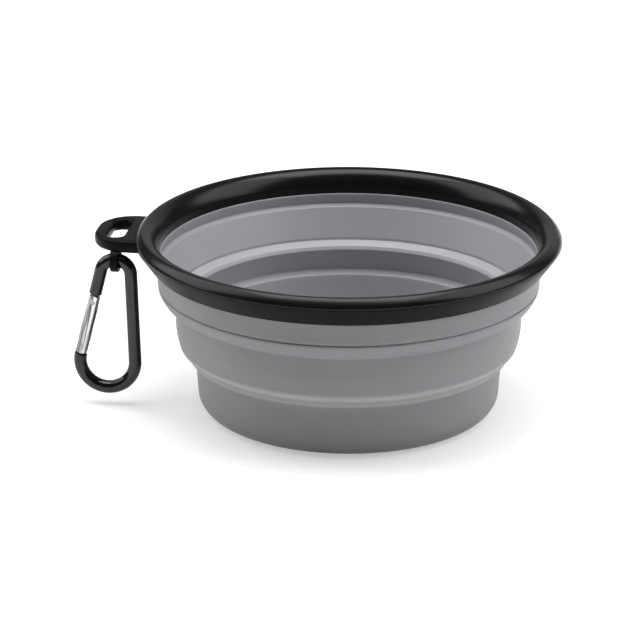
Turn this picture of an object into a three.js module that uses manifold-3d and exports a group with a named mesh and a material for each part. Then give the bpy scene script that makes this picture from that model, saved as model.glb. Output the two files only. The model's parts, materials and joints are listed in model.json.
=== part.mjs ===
// Collapsible water bowl: a grey silicone bowl with two folds, clamped in a hard black rim,
// with a small carabiner hanging from a lug on the rim.
// Millimetres, +Z up, origin on the bowl's axis at its flat underside, lug towards -X.
import * as THREE from 'three';
import { mergeVertices } from 'three/addons/utils/BufferGeometryUtils.js';
import Module from 'manifold-3d';

const wasm = await Module();
wasm.setup();

// Fits and smoothness
const FIT_GAP = 0.3;          // clearance between pieces that seat on each other
const SPLIT_GAP = 0.2;        // gap at the lines where the moulding is divided
const PIN_GAP = 0.1;          // running clearance of a pin in its hole
const RING_SIDES = 56;        // facets round every ring of the bowl
const CURVE_STEPS = 5;        // facets along each curved stretch of a profile
const ROD_SIDES = 12;
const PIN_SIDES = 12;

// Heights of the bowl's stages, from the ground up
const BASE_CUP_HEIGHT = 15.5;
const LOWER_FOLD_HEIGHT = 8.4;
const MIDDLE_BAND_HEIGHT = 10.8;
const UPPER_FOLD_HEIGHT = 5.7;
const UPPER_BAND_HEIGHT = 7.4;
const RIM_HEIGHT = 9.3;

// Rim rings
const RIM_OUTER_RADIUS = 65;
const RIM_WIDTH = 7.4;
const CAP_DEPTH = 3.1;        // crown top down to the seam between the two rings
const CAP_SHELL = 2.4;        // crown top down to the cavity's ceiling
const CAP_SKIRT_DEPTH = 7.2;  // crown top down to the end of the inner skirt
const CAP_SKIRT_WALL = 1.3;
const CAP_LIP_WALL = 1.0;
const CAP_CORNER_RUN = 1.5;   // the cavity's inner corner is cut off under the round crown
const CAP_CORNER_RISE = 2.4;
const CROWN_ROUND = 4.9;      // height of the crown's inner side, from its ridge down
const CROWN_ROUND_WIDTH = 4.8;
const CROWN_ROUND_EASE = 3.0;
const CROWN_SHOULDER_DROP = 1.6;
const CROWN_SHOULDER_EASE = 1.3;
const CROWN_SHOULDER_INSET = 0.5;
const CARRIER_WALL = 1.5;
const CARRIER_TOP_WALL = 2.3;
const CARRIER_CONE_DEPTH = 1.0;  // carrier top down to the top of its inner cone
const CARRIER_FOOT_STEP = 0.2;
const TONGUE_WIDTH = 1.0;
const TONGUE_HEIGHT = 0.7;
const SEAM_SETBACK = 0.1;     // the carrier's upper edge stands this far inside the crown's

// Silicone moulding
const WALL = 2.0;
const UPPER_BAND_SETOUT = 1.1;  // band's outer face beyond the rim's inner face
const UPPER_BAND_TAPER = 0.5;   // the band draws in this far down to its fold
const UPPER_FOLD_STEP = 5.3;
const LOWER_FOLD_STEP = 6.1;
const NECK_SETOUT = 0.7;      // the wall thins inside, just below the rim
const NECK_DEPTH = 3.1;
const NECK_RAMP = 0.4;
const UPPER_FOLD_SAG = 3.6;   // how far the fold stays upright before it turns under
const LOWER_FOLD_SAG = 5.4;
const FOLD_LEAN = 0.5;
const UPPER_LEDGE_RISE = 0.8; // inner ledge above the outer step
const LOWER_LEDGE_RISE = 0.8;
const UPPER_LEDGE_SAG = 4.2;
const LOWER_LEDGE_SAG = 6.2;
const BASE_EDGE_ROUND = 6.5;
const BASE_FLOOR = 2.2;
const BASE_INNER_ROUND = 4.5;

// Lug
const LUG_SLOT_INSET = 3.7;   // rim's edge to the slot
const LUG_SLOT_WIDTH = 5.3;
const LUG_SLOT_LENGTH = 17.0;
const LUG_BAND = 4.3;
const LUG_SIDE = 4.5;         // width of the arms in front of the slot and behind it
const LUG_CORNER = 11.0;
const LUG_THICKNESS = 4.0;
const LUG_EDGE = 1.2;
const LUG_STEPS = 6;
const LUG_ROOT = 6;           // how far the plate runs in under the rim before it is trimmed

// Eyelet under the lug's front arm
const EYELET_REACH = 5.3;     // rim's edge to the eyelet's middle
const EYELET_THICKNESS = 2.6;
const EYELET_WALL = 1.25;
const EYELET_EDGE = 0.4;
const EYELET_STEPS = 10;

// Carabiner
const ROD_RADIUS = 2.0;
const HOOK_INNER_RADIUS = 2.7;
const HOOK_GAP = 0.5;         // lug's underside to the top of the hook
const BOTTOM_INNER_RADIUS = 6.6;
const CARABINER_DROP = 28.5;  // top bend's centre down to the bottom bend's centre
const CARABINER_TILT_DEG = 6;  // friction in the eyelet keeps it a little off plumb
const FRAME_STEPS = 56;
const HINGE_ALONG_LIMB = 10.5;
const NOSE_GAP = 0.4;
const SHOULDER_GAP = 0.4;

// Gate and its small parts
const GATE_RADIUS = 2.0;
const GATE_SIDES = 20;
const FORK_SLOT = 2.2;
const FORK_DEPTH = 2.6;
const TANG_WIDTH = 2.4;
const TANG_HEEL = 1.6;
const TANG_ROOT = 1.0;
const HINGE_PIN_RADIUS = 0.75;
const LATCH_PIN_RADIUS = 0.6;
const LATCH_PIN_RISE = 2.2;   // latch pin above the gate's lower end
const LATCH_SLOT_RISE = 2.2;  // slot's end above the latch pin
const PIN_RECESS = 0.1;       // pin ends below the gate's surface
const NOSE_OUTER_WALL = 0.7;
const NOSE_LIP = 0.8;
const NOSE_LIP_REACH = 0.5;
const BORE_RADIUS = 1.15;
const BORE_END_WALL = 1.2;    // solid left between the bore and the latch slot
const PLUNGER_RADIUS = 0.95;
const PLUNGER_LENGTH = 2.6;
const SPRING_WIRE = 0.35;
const SPRING_CURLS = 8;
const SPRING_STEPS_PER_CURL = 8;
const SPRING_SIDES = 5;

// Levels and radii worked out from the sizes above
const BASE_TOP = BASE_CUP_HEIGHT;
const LOWER_FOLD_TOP = BASE_TOP + LOWER_FOLD_HEIGHT;
const MIDDLE_TOP = LOWER_FOLD_TOP + MIDDLE_BAND_HEIGHT;
const UPPER_FOLD_TOP = MIDDLE_TOP + UPPER_FOLD_HEIGHT;
const RIM_BOTTOM = UPPER_FOLD_TOP + UPPER_BAND_HEIGHT;
const RIM_TOP = RIM_BOTTOM + RIM_HEIGHT;
const CAP_SEAM = RIM_TOP - CAP_DEPTH;
const CAP_CEILING = RIM_TOP - CAP_SHELL;
const CAP_SKIRT_END = RIM_TOP - CAP_SKIRT_DEPTH;
const CARRIER_TOP = CAP_SEAM - FIT_GAP;
const RIM_INNER_RADIUS = RIM_OUTER_RADIUS - RIM_WIDTH;
const CAP_SKIRT_RADIUS = RIM_INNER_RADIUS + CAP_SKIRT_WALL;
const UPPER_RADIUS = RIM_INNER_RADIUS + UPPER_BAND_SETOUT;
const UPPER_FOLD_RADIUS = UPPER_RADIUS - UPPER_BAND_TAPER;
const MIDDLE_RADIUS = UPPER_FOLD_RADIUS - UPPER_FOLD_STEP;
const BASE_RADIUS = MIDDLE_RADIUS - LOWER_FOLD_STEP;
const CARRIER_FOOT_RADIUS = UPPER_RADIUS + FIT_GAP;
const CARRIER_INNER_TOP_RADIUS = RIM_OUTER_RADIUS - CARRIER_TOP_WALL;
const CARRIER_CONE_TOP = CARRIER_TOP - CARRIER_CONE_DEPTH;

const silicone = new THREE.MeshStandardMaterial({ color: 0x88878c, roughness: 0.55, metalness: 0 });
const rimPlastic = new THREE.MeshStandardMaterial({ color: 0x161618, roughness: 0.35, metalness: 0 });
const blackRod = new THREE.MeshStandardMaterial({ color: 0x101012, roughness: 0.3, metalness: 0.3 });
const brightRod = new THREE.MeshStandardMaterial({ color: 0xd2d4d8, roughness: 0.18, metalness: 1 });
const steel = new THREE.MeshStandardMaterial({ color: 0xa8abb0, roughness: 0.3, metalness: 1 });

// Welds a geometry into one closed shell whose faces point out.
function weld(geometry) {
  const bare = geometry.clone();
  bare.deleteAttribute('normal');
  bare.deleteAttribute('uv');
  const merged = mergeVertices(bare, 1e-4);
  const place = merged.getAttribute('position');
  const index = merged.getIndex().array;
  const triangles = [];
  const a = new THREE.Vector3();
  const b = new THREE.Vector3();
  const c = new THREE.Vector3();
  let volume = 0;
  for (let i = 0; i < index.length; i += 3) {
    const [p, q, r] = index.slice(i, i + 3);
    if (p === q || q === r || r === p) continue;
    triangles.push([p, q, r]);
    a.fromBufferAttribute(place, p);
    b.fromBufferAttribute(place, q);
    c.fromBufferAttribute(place, r);
    volume += a.dot(b.cross(c));
  }
  const facing = volume > 0 ? triangles : triangles.map(([p, q, r]) => [p, r, q]);
  merged.setIndex(facing.flat());
  return merged;
}

function toSolid(geometry) {
  const shell = weld(geometry);
  return new wasm.Manifold(new wasm.Mesh({
    numProp: 3,
    vertProperties: new Float32Array(shell.getAttribute('position').array),
    triVerts: new Uint32Array(shell.getIndex().array),
  }));
}

function toGeometry(solid) {
  const mesh = solid.getMesh();
  const geometry = new THREE.BufferGeometry();
  geometry.setAttribute('position', new THREE.BufferAttribute(mesh.vertProperties, 3));
  geometry.setIndex(new THREE.BufferAttribute(mesh.triVerts, 1));
  return geometry;
}

function piece(name, geometry, material) {
  const finished = weld(geometry);
  finished.computeVertexNormals();
  const mesh = new THREE.Mesh(finished, material);
  mesh.name = name;
  return mesh;
}

// Revolves an outline of radius and height about +Z.
function revolve(outline) {
  const geometry = new THREE.LatheGeometry(outline.getPoints(CURVE_STEPS), RING_SIDES);
  geometry.rotateX(Math.PI / 2);
  return geometry;
}

// A flat plate whose outline lies in XZ, centred on Y.
function plate(outline, thickness) {
  const geometry = new THREE.ExtrudeGeometry(outline, {
    depth: thickness, bevelEnabled: false, curveSegments: ROD_SIDES / 2,
  });
  geometry.rotateX(Math.PI / 2);
  geometry.translate(0, thickness / 2, 0);
  return geometry;
}

function box(xMin, xMax, depth, zMin, zMax) {
  const geometry = new THREE.BoxGeometry(xMax - xMin, depth, zMax - zMin);
  geometry.translate((xMin + xMax) / 2, 0, (zMin + zMax) / 2);
  return geometry;
}

// A round bar along Y through a point of the XZ plane.
function crossBar(radius, length, z) {
  const geometry = new THREE.CylinderGeometry(radius, radius, length, PIN_SIDES);
  geometry.translate(0, 0, z);
  return geometry;
}

// A round bar along Z between two levels.
function uprightBar(radius, sides, zMin, zMax) {
  const geometry = new THREE.CylinderGeometry(radius, radius, zMax - zMin, sides);
  geometry.rotateX(Math.PI / 2);
  geometry.translate(0, 0, (zMin + zMax) / 2);
  return geometry;
}

function roundSection(radius, sides) {
  const points = [];
  for (let i = 0; i < sides; i += 1) {
    const angle = (2 * Math.PI * i) / sides;
    points.push(new THREE.Vector2(radius * Math.cos(angle), radius * Math.sin(angle)));
  }
  return new THREE.Shape(points);
}

function sweep(curve, radius, sides, steps) {
  return new THREE.ExtrudeGeometry(roundSection(radius, sides), { steps, extrudePath: curve });
}

// Rim cap: round crown with its ridge near the outer edge, inner skirt and a short outer lip that
// closes on the carrier ring.
function rimCap() {
  const outline = new THREE.Path();
  const ridge = RIM_INNER_RADIUS + CROWN_ROUND_WIDTH;
  const shoulder = RIM_OUTER_RADIUS - CROWN_SHOULDER_INSET;
  const lipInner = RIM_OUTER_RADIUS - CAP_LIP_WALL;
  outline.moveTo(RIM_INNER_RADIUS, CAP_SKIRT_END);
  outline.lineTo(RIM_INNER_RADIUS, RIM_TOP - CROWN_ROUND);
  outline.quadraticCurveTo(ridge - CROWN_ROUND_EASE, RIM_TOP, ridge, RIM_TOP);
  outline.quadraticCurveTo(shoulder - CROWN_SHOULDER_EASE, RIM_TOP, shoulder, RIM_TOP - CROWN_SHOULDER_DROP);
  outline.quadraticCurveTo(RIM_OUTER_RADIUS, RIM_TOP - CAP_SHELL, RIM_OUTER_RADIUS, CAP_SEAM);
  outline.lineTo(lipInner, CAP_SEAM);
  outline.lineTo(lipInner, CAP_CEILING);
  outline.lineTo(CAP_SKIRT_RADIUS + CAP_CORNER_RUN, CAP_CEILING);
  outline.lineTo(CAP_SKIRT_RADIUS, CAP_CEILING - CAP_CORNER_RISE);
  outline.lineTo(CAP_SKIRT_RADIUS, CAP_SKIRT_END);
  outline.closePath();
  return piece('rim_cap_ring', revolve(outline), rimPlastic);
}

// Rim carrier: sloping skirt with a conical seat for the silicone bead, a tongue that centres
// the cap, and the lug with the eyelet that the carabiner hangs in.
function rimCarrier() {
  const footOuter = CARRIER_FOOT_RADIUS + CARRIER_WALL;
  const tongueOuter = CARRIER_INNER_TOP_RADIUS + TONGUE_WIDTH;
  const coneStart = RIM_BOTTOM + CARRIER_FOOT_STEP;
  const outline = new THREE.Path();
  outline.moveTo(CARRIER_FOOT_RADIUS, RIM_BOTTOM);
  outline.lineTo(footOuter, RIM_BOTTOM);
  outline.lineTo(RIM_OUTER_RADIUS - SEAM_SETBACK, CARRIER_TOP);
  outline.lineTo(tongueOuter, CARRIER_TOP);
  outline.lineTo(tongueOuter, CARRIER_TOP + TONGUE_HEIGHT);
  outline.lineTo(CARRIER_INNER_TOP_RADIUS, CARRIER_TOP + TONGUE_HEIGHT);
  outline.lineTo(CARRIER_INNER_TOP_RADIUS, CARRIER_CONE_TOP);
  outline.lineTo(CARRIER_FOOT_RADIUS, coneStart);
  outline.closePath();

  // The lug's root is trimmed half way into the skirt's wall.
  const root = CARRIER_WALL / 2;
  const trim = new THREE.Path();
  trim.moveTo(0, RIM_BOTTOM - root);
  trim.lineTo(CARRIER_FOOT_RADIUS + root, RIM_BOTTOM - root);
  trim.lineTo(CARRIER_FOOT_RADIUS + root, coneStart);
  trim.lineTo(CARRIER_INNER_TOP_RADIUS + root, CARRIER_CONE_TOP);
  trim.lineTo(CARRIER_INNER_TOP_RADIUS + root, CARRIER_TOP + root);
  trim.lineTo(0, CARRIER_TOP + root);
  trim.closePath();

  const lug = toSolid(lugPlate()).subtract(toSolid(revolve(trim))).add(toSolid(eyelet()));
  const ring = toSolid(revolve(outline)).add(lug);
  return piece('rim_carrier_ring', toGeometry(ring), rimPlastic);
}

// Lug: a plate with a rounded end and a long slot, all edges rounded.
function lugPlate() {
  const slotInner = RIM_OUTER_RADIUS + LUG_SLOT_INSET;
  const slotRadius = LUG_SLOT_WIDTH / 2;
  const slotCentre = slotInner + slotRadius;
  const slotReach = LUG_SLOT_LENGTH / 2 - slotRadius;
  const end = slotInner + LUG_SLOT_WIDTH + LUG_BAND;
  const half = LUG_SLOT_LENGTH / 2 + LUG_SIDE;
  const start = RIM_OUTER_RADIUS - LUG_ROOT;

  const outline = new THREE.Shape();
  outline.moveTo(start, -half);
  outline.lineTo(end - LUG_CORNER, -half);
  outline.absarc(end - LUG_CORNER, -half + LUG_CORNER, LUG_CORNER, -Math.PI / 2, 0, false);
  outline.lineTo(end, half - LUG_CORNER);
  outline.absarc(end - LUG_CORNER, half - LUG_CORNER, LUG_CORNER, 0, Math.PI / 2, false);
  outline.lineTo(start, half);
  outline.closePath();

  const slot = new THREE.Path();
  slot.moveTo(slotInner, -slotReach);
  slot.absarc(slotCentre, -slotReach, slotRadius, -Math.PI, 0, false);
  slot.lineTo(slotCentre + slotRadius, slotReach);
  slot.absarc(slotCentre, slotReach, slotRadius, 0, Math.PI, false);
  slot.closePath();
  outline.holes.push(slot);

  const geometry = new THREE.ExtrudeGeometry(outline, {
    depth: LUG_THICKNESS - 2 * LUG_EDGE,
    bevelThickness: LUG_EDGE,
    bevelSize: LUG_EDGE,
    bevelOffset: -LUG_EDGE,
    bevelSegments: 2,
    curveSegments: LUG_STEPS,
  });
  geometry.rotateZ(Math.PI);
  geometry.translate(0, 0, CARRIER_TOP - LUG_THICKNESS + LUG_EDGE);
  return geometry;
}

// Eyelet: a ring under the lug's front arm; its hole clears the bent rod of the hook.
function eyelet() {
  const hook = hangingPoint();
  const half = EYELET_THICKNESS / 2;
  const low = Math.sqrt(HOOK_INNER_RADIUS * HOOK_INNER_RADIUS - half * half) - FIT_GAP;
  const high = TOP_BEND + ROD_RADIUS + FIT_GAP;
  const radius = (high - low) / 2;
  const outline = new THREE.Shape();
  outline.absarc(0, 0, radius + EYELET_WALL, 0, 2 * Math.PI, false);
  const hole = new THREE.Path();
  hole.absarc(0, 0, radius, 0, 2 * Math.PI, true);
  outline.holes.push(hole);

  const geometry = new THREE.ExtrudeGeometry(outline, {
    depth: EYELET_THICKNESS - 2 * EYELET_EDGE,
    bevelThickness: EYELET_EDGE,
    bevelSize: EYELET_EDGE,
    bevelOffset: -EYELET_EDGE,
    bevelSegments: 2,
    curveSegments: EYELET_STEPS,
  });
  geometry.translate(0, 0, EYELET_EDGE - half);
  geometry.rotateY(Math.PI / 2);
  geometry.translate(hook.x, hook.y, hook.z + (low + high) / 2);
  return geometry;
}

// Top band of the bowl, with the bead that fills the room between cap and carrier.
function upperBand() {
  const bottom = UPPER_FOLD_TOP + SPLIT_GAP;
  const neckRadius = UPPER_RADIUS - WALL + NECK_SETOUT;
  const neckTop = CAP_SKIRT_END - FIT_GAP;
  const neckBottom = neckTop - NECK_DEPTH;
  const beadTop = CAP_CEILING - FIT_GAP;
  const outline = new THREE.Path();
  outline.moveTo(UPPER_FOLD_RADIUS - WALL, bottom);
  outline.lineTo(UPPER_FOLD_RADIUS, bottom);
  outline.lineTo(UPPER_RADIUS, RIM_BOTTOM + CARRIER_FOOT_STEP + FIT_GAP);
  outline.lineTo(CARRIER_INNER_TOP_RADIUS - FIT_GAP, CARRIER_CONE_TOP + FIT_GAP);
  outline.lineTo(CARRIER_INNER_TOP_RADIUS - FIT_GAP, beadTop);
  outline.lineTo(CAP_SKIRT_RADIUS + FIT_GAP + CAP_CORNER_RUN, beadTop);
  outline.lineTo(CAP_SKIRT_RADIUS + FIT_GAP, beadTop - CAP_CORNER_RISE);
  outline.lineTo(CAP_SKIRT_RADIUS + FIT_GAP, neckTop);
  outline.lineTo(neckRadius, neckTop);
  outline.lineTo(neckRadius, neckBottom);
  outline.lineTo(UPPER_RADIUS - WALL, neckBottom - NECK_RAMP);
  outline.closePath();
  return piece('bowl_upper_band', revolve(outline), silicone);
}

// A fold: the wall stands upright at its top, bulges, and turns under to the next, smaller ring.
function fold(name, topRadius, topLevel, step, height, sag, ledgeRise, ledgeSag) {
  const lowRadius = topRadius - step;
  const lowLevel = topLevel - height;
  const outline = new THREE.Path();
  outline.moveTo(topRadius - WALL, topLevel);
  outline.lineTo(topRadius, topLevel);
  outline.quadraticCurveTo(topRadius - FOLD_LEAN, topLevel - sag, lowRadius, lowLevel);
  outline.lineTo(lowRadius - WALL, lowLevel);
  outline.lineTo(lowRadius - WALL, lowLevel + ledgeRise);
  outline.quadraticCurveTo(topRadius - WALL - FOLD_LEAN, topLevel - ledgeSag, topRadius - WALL, topLevel);
  return piece(name, revolve(outline), silicone);
}

function middleBand() {
  const outline = new THREE.Path();
  outline.moveTo(MIDDLE_RADIUS - WALL, LOWER_FOLD_TOP + SPLIT_GAP);
  outline.lineTo(MIDDLE_RADIUS, LOWER_FOLD_TOP + SPLIT_GAP);
  outline.lineTo(MIDDLE_RADIUS, MIDDLE_TOP - SPLIT_GAP);
  outline.lineTo(MIDDLE_RADIUS - WALL, MIDDLE_TOP - SPLIT_GAP);
  outline.closePath();
  return piece('bowl_middle_band', revolve(outline), silicone);
}

function baseCup() {
  const top = BASE_TOP - SPLIT_GAP;
  const inner = BASE_RADIUS - WALL;
  const outline = new THREE.Path();
  outline.moveTo(0, 0);
  outline.lineTo(BASE_RADIUS - BASE_EDGE_ROUND, 0);
  outline.absarc(BASE_RADIUS - BASE_EDGE_ROUND, BASE_EDGE_ROUND, BASE_EDGE_ROUND, -Math.PI / 2, 0, false);
  outline.lineTo(BASE_RADIUS, top);
  outline.lineTo(inner, top);
  outline.lineTo(inner, BASE_FLOOR + BASE_INNER_ROUND);
  outline.quadraticCurveTo(inner, BASE_FLOOR, inner - BASE_INNER_ROUND, BASE_FLOOR);
  outline.lineTo(0, BASE_FLOOR);
  return piece('bowl_base_cup', revolve(outline), silicone);
}

// The carabiner lies in a plane parallel to XZ. Its own origin is the centre of the top bend.
const TOP_BEND = HOOK_INNER_RADIUS + ROD_RADIUS;
const BOTTOM_BEND = BOTTOM_INNER_RADIUS + ROD_RADIUS;
const TOP_CENTRE = new THREE.Vector2(0, 0);
const BOTTOM_CENTRE = new THREE.Vector2(0, -CARABINER_DROP);

// Direction from the bends' centres to the straight limb on one side (-1 gate, +1 spine).
function limbNormal(side) {
  const axis = BOTTOM_CENTRE.clone().sub(TOP_CENTRE);
  const along = (TOP_BEND - BOTTOM_BEND) / axis.length();
  const across = side * Math.sqrt(1 - along * along);
  axis.normalize();
  return new THREE.Vector2(axis.x * along - axis.y * across, axis.y * along + axis.x * across);
}

const GATE_NORMAL = limbNormal(-1);
const SPINE_NORMAL = limbNormal(1);
const LIMB_TOP = TOP_CENTRE.clone().addScaledVector(GATE_NORMAL, TOP_BEND);
const LIMB_END = BOTTOM_CENTRE.clone().addScaledVector(GATE_NORMAL, BOTTOM_BEND);
const LIMB_RUN = LIMB_END.clone().sub(LIMB_TOP);
const LIMB_DIRECTION = LIMB_RUN.clone().normalize();
const LIMB_ANGLE = Math.atan2(-LIMB_DIRECTION.x, -LIMB_DIRECTION.y);
const HINGE_POINT = LIMB_TOP.clone().addScaledVector(LIMB_DIRECTION, HINGE_ALONG_LIMB);

// Levels along the gate, measured from the hinge pin, down negative
const NOSE_LEVEL = HINGE_ALONG_LIMB - LIMB_RUN.length();
const GATE_END = NOSE_LEVEL + NOSE_GAP;
const LATCH_LEVEL = GATE_END + LATCH_PIN_RISE;
const LATCH_SLOT_END = LATCH_LEVEL + LATCH_SLOT_RISE;
const BORE_END = LATCH_SLOT_END + BORE_END_WALL;
const SHOULDER_LEVEL = GATE_RADIUS + SHOULDER_GAP;
const TANG_THICKNESS = FORK_SLOT - 2 * FIT_GAP;
const PLUNGER_TOP = -TANG_HEEL - FIT_GAP;
const PLUNGER_END = PLUNGER_TOP - PLUNGER_LENGTH;

// A curve in the XZ plane that follows a flat path.
class PlanarCurve extends THREE.Curve {
  constructor(path) {
    super();
    this.path = path;
  }

  getPoint(t, target = new THREE.Vector3()) {
    const point = this.path.getPointAt(t);
    return target.set(point.x, 0, point.y);
  }
}

// Moves a geometry from the gate's own frame (hinge pin at the origin) to the carabiner's.
function ontoLimb(geometry) {
  geometry.rotateY(LIMB_ANGLE);
  geometry.translate(HINGE_POINT.x, 0, HINGE_POINT.y);
  return geometry;
}

// Bent rod from the hinge shoulder over the top bend, down the spine and round to the nose.
function carabinerFrame() {
  const shoulder = HINGE_POINT.clone().addScaledVector(LIMB_DIRECTION, -SHOULDER_LEVEL);
  const gateTurn = GATE_NORMAL.angle();
  const spineTurn = SPINE_NORMAL.angle();
  const path = new THREE.Path();
  path.moveTo(shoulder.x, shoulder.y);
  path.lineTo(LIMB_TOP.x, LIMB_TOP.y);
  path.absarc(TOP_CENTRE.x, TOP_CENTRE.y, TOP_BEND, gateTurn, spineTurn, true);
  path.absarc(BOTTOM_CENTRE.x, BOTTOM_CENTRE.y, BOTTOM_BEND, spineTurn, gateTurn, true);
  const rod = sweep(new PlanarCurve(path), ROD_RADIUS, ROD_SIDES, FRAME_STEPS);

  const hole = crossBar(HINGE_PIN_RADIUS + PIN_GAP, FORK_SLOT, 0);
  const frame = toSolid(rod)
    .add(toSolid(ontoLimb(plate(tangOutline(), TANG_THICKNESS))))
    .add(toSolid(ontoLimb(plate(noseOutline(), TANG_THICKNESS))))
    .subtract(toSolid(ontoLimb(hole)));
  return piece('carabiner_frame', toGeometry(frame), blackRod);
}

// Tang: flat tongue that stands in the gate's fork, with a flat heel for the plunger.
function tangOutline() {
  const half = TANG_WIDTH / 2;
  const outline = new THREE.Shape();
  outline.moveTo(-half, SHOULDER_LEVEL + TANG_ROOT);
  outline.lineTo(-half, -TANG_HEEL);
  outline.lineTo(half, -TANG_HEEL);
  outline.lineTo(half, SHOULDER_LEVEL + TANG_ROOT);
  outline.closePath();
  return outline;
}

// Nose: flat hook that stands in the gate's lower slot and opens inwards for the latch pin.
function noseOutline() {
  const room = LATCH_PIN_RADIUS + FIT_GAP;
  const outer = -room - NOSE_OUTER_WALL;
  const outline = new THREE.Shape();
  outline.moveTo(outer, NOSE_LEVEL - TANG_ROOT);
  outline.lineTo(-outer, NOSE_LEVEL - TANG_ROOT);
  outline.lineTo(-outer, LATCH_LEVEL - room);
  outline.lineTo(-room, LATCH_LEVEL - room);
  outline.lineTo(-room, LATCH_LEVEL + room);
  outline.lineTo(NOSE_LIP_REACH, LATCH_LEVEL + room);
  outline.lineTo(NOSE_LIP_REACH, LATCH_LEVEL + room + NOSE_LIP);
  outline.lineTo(outer, LATCH_LEVEL + room + NOSE_LIP);
  outline.closePath();
  return outline;
}

// Gate: round rod with a half-round forked head, a spring bore and a latch slot.
function carabinerGate() {
  const side = new THREE.Shape();
  side.moveTo(-GATE_RADIUS, GATE_END);
  side.lineTo(GATE_RADIUS, GATE_END);
  side.lineTo(GATE_RADIUS, 0);
  side.absarc(0, 0, GATE_RADIUS, 0, Math.PI, false);
  side.closePath();

  const beyond = 2 * GATE_RADIUS;
  const forkCut = box(-beyond, beyond, FORK_SLOT, -FORK_DEPTH, beyond);
  const latchCut = box(-beyond, beyond, FORK_SLOT, GATE_END - beyond, LATCH_SLOT_END);
  const gate = toSolid(uprightBar(GATE_RADIUS, GATE_SIDES, GATE_END, beyond))
    .intersect(toSolid(plate(side, 2 * beyond)))
    .subtract(toSolid(forkCut))
    .subtract(toSolid(latchCut))
    .subtract(toSolid(uprightBar(BORE_RADIUS, PIN_SIDES, BORE_END, 0)))
    .subtract(toSolid(crossBar(HINGE_PIN_RADIUS + PIN_GAP, 2 * beyond, 0)))
    .subtract(toSolid(crossBar(LATCH_PIN_RADIUS + PIN_GAP, 2 * beyond, LATCH_LEVEL)));
  return piece('carabiner_gate', toGeometry(gate), brightRod);
}

function gatePin(name, radius, level) {
  const length = 2 * (GATE_RADIUS - PIN_RECESS);
  return piece(name, crossBar(radius, length, level), steel);
}

function gatePlunger() {
  return piece('gate_plunger', uprightBar(PLUNGER_RADIUS, PIN_SIDES, PLUNGER_END, PLUNGER_TOP), steel);
}

class Helix extends THREE.Curve {
  constructor(radius, zMin, zMax, turns) {
    super();
    Object.assign(this, { radius, zMin, zMax, turns });
  }

  getPoint(t, target = new THREE.Vector3()) {
    const angle = 2 * Math.PI * this.turns * t;
    const z = this.zMin + (this.zMax - this.zMin) * t;
    return target.set(this.radius * Math.cos(angle), this.radius * Math.sin(angle), z);
  }
}

// Least distance between the wire's surfaces on neighbouring curls, measured on points.
function leastCoilGap(curve) {
  const steps = SPRING_CURLS * SPRING_STEPS_PER_CURL * 4;
  const points = curve.getPoints(steps);
  const halfCurl = (SPRING_STEPS_PER_CURL * 4) / 2;
  let least = Infinity;
  for (let i = 0; i < points.length; i += 1) {
    for (let j = i + halfCurl; j < points.length; j += 1) {
      least = Math.min(least, points[i].distanceTo(points[j]));
    }
  }
  return least - SPRING_WIRE;
}

// Coil spring between the bore's end and the plunger.
function gateSpring() {
  const wire = SPRING_WIRE / 2;
  const radius = BORE_RADIUS - FIT_GAP - wire;
  const low = BORE_END + FIT_GAP + wire;
  const high = PLUNGER_END - FIT_GAP - wire;
  const coil = new Helix(radius, low, high, SPRING_CURLS);
  console.log(`gate_spring least gap to itself: ${leastCoilGap(coil).toFixed(2)} mm`);
  const steps = SPRING_CURLS * SPRING_STEPS_PER_CURL;
  return piece('gate_spring', sweep(coil, wire, SPRING_SIDES, steps), steel);
}

// Centre of the hook's bend: the rod runs through the eyelet, just under the lug's front arm.
function hangingPoint() {
  const arm = (LUG_SLOT_LENGTH + LUG_SIDE) / 2;
  const underside = CARRIER_TOP - LUG_THICKNESS;
  return new THREE.Vector3(
    -RIM_OUTER_RADIUS - EYELET_REACH,
    -arm,
    underside - HOOK_GAP - TOP_BEND - ROD_RADIUS,
  );
}

function carabiner() {
  const gate = new THREE.Group();
  gate.add(carabinerGate());
  gate.add(gatePin('gate_hinge_pin', HINGE_PIN_RADIUS, 0));
  gate.add(gatePin('gate_latch_pin', LATCH_PIN_RADIUS, LATCH_LEVEL));
  gate.add(gateSpring());
  gate.add(gatePlunger());
  gate.position.set(HINGE_POINT.x, 0, HINGE_POINT.y);
  gate.rotation.y = LIMB_ANGLE;

  const group = new THREE.Group();
  group.add(carabinerFrame());
  group.add(gate);
  group.position.copy(hangingPoint());
  group.rotation.y = THREE.MathUtils.degToRad(CARABINER_TILT_DEG);
  return group;
}

const bowl = new THREE.Group();
bowl.name = 'collapsible_water_bowl';
bowl.add(rimCap());
bowl.add(rimCarrier());
bowl.add(upperBand());
bowl.add(fold('bowl_upper_fold', UPPER_FOLD_RADIUS, UPPER_FOLD_TOP, UPPER_FOLD_STEP, UPPER_FOLD_HEIGHT,
  UPPER_FOLD_SAG, UPPER_LEDGE_RISE, UPPER_LEDGE_SAG));
bowl.add(middleBand());
bowl.add(fold('bowl_lower_fold', MIDDLE_RADIUS, LOWER_FOLD_TOP, LOWER_FOLD_STEP, LOWER_FOLD_HEIGHT,
  LOWER_FOLD_SAG, LOWER_LEDGE_RISE, LOWER_LEDGE_SAG));
bowl.add(baseCup());
bowl.add(carabiner());

export default bowl;
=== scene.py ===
"""Looks of a collapsible water bowl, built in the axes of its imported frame.

A grey silicone bowl with two folds is clamped by a hard black rim, and a small carabiner with a
bright sprung gate hangs in an eyelet under the rim's lug. +Z is up, the bowl's axis is the Z axis
and the lug stands towards -X. Sizes are written in millimetres; every mesh is made in metres.
"""

import json
import logging
import math
from dataclasses import dataclass, field
from enum import Enum
from typing import Iterable

import bmesh
import bpy
from mathutils import Matrix, Vector


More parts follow.
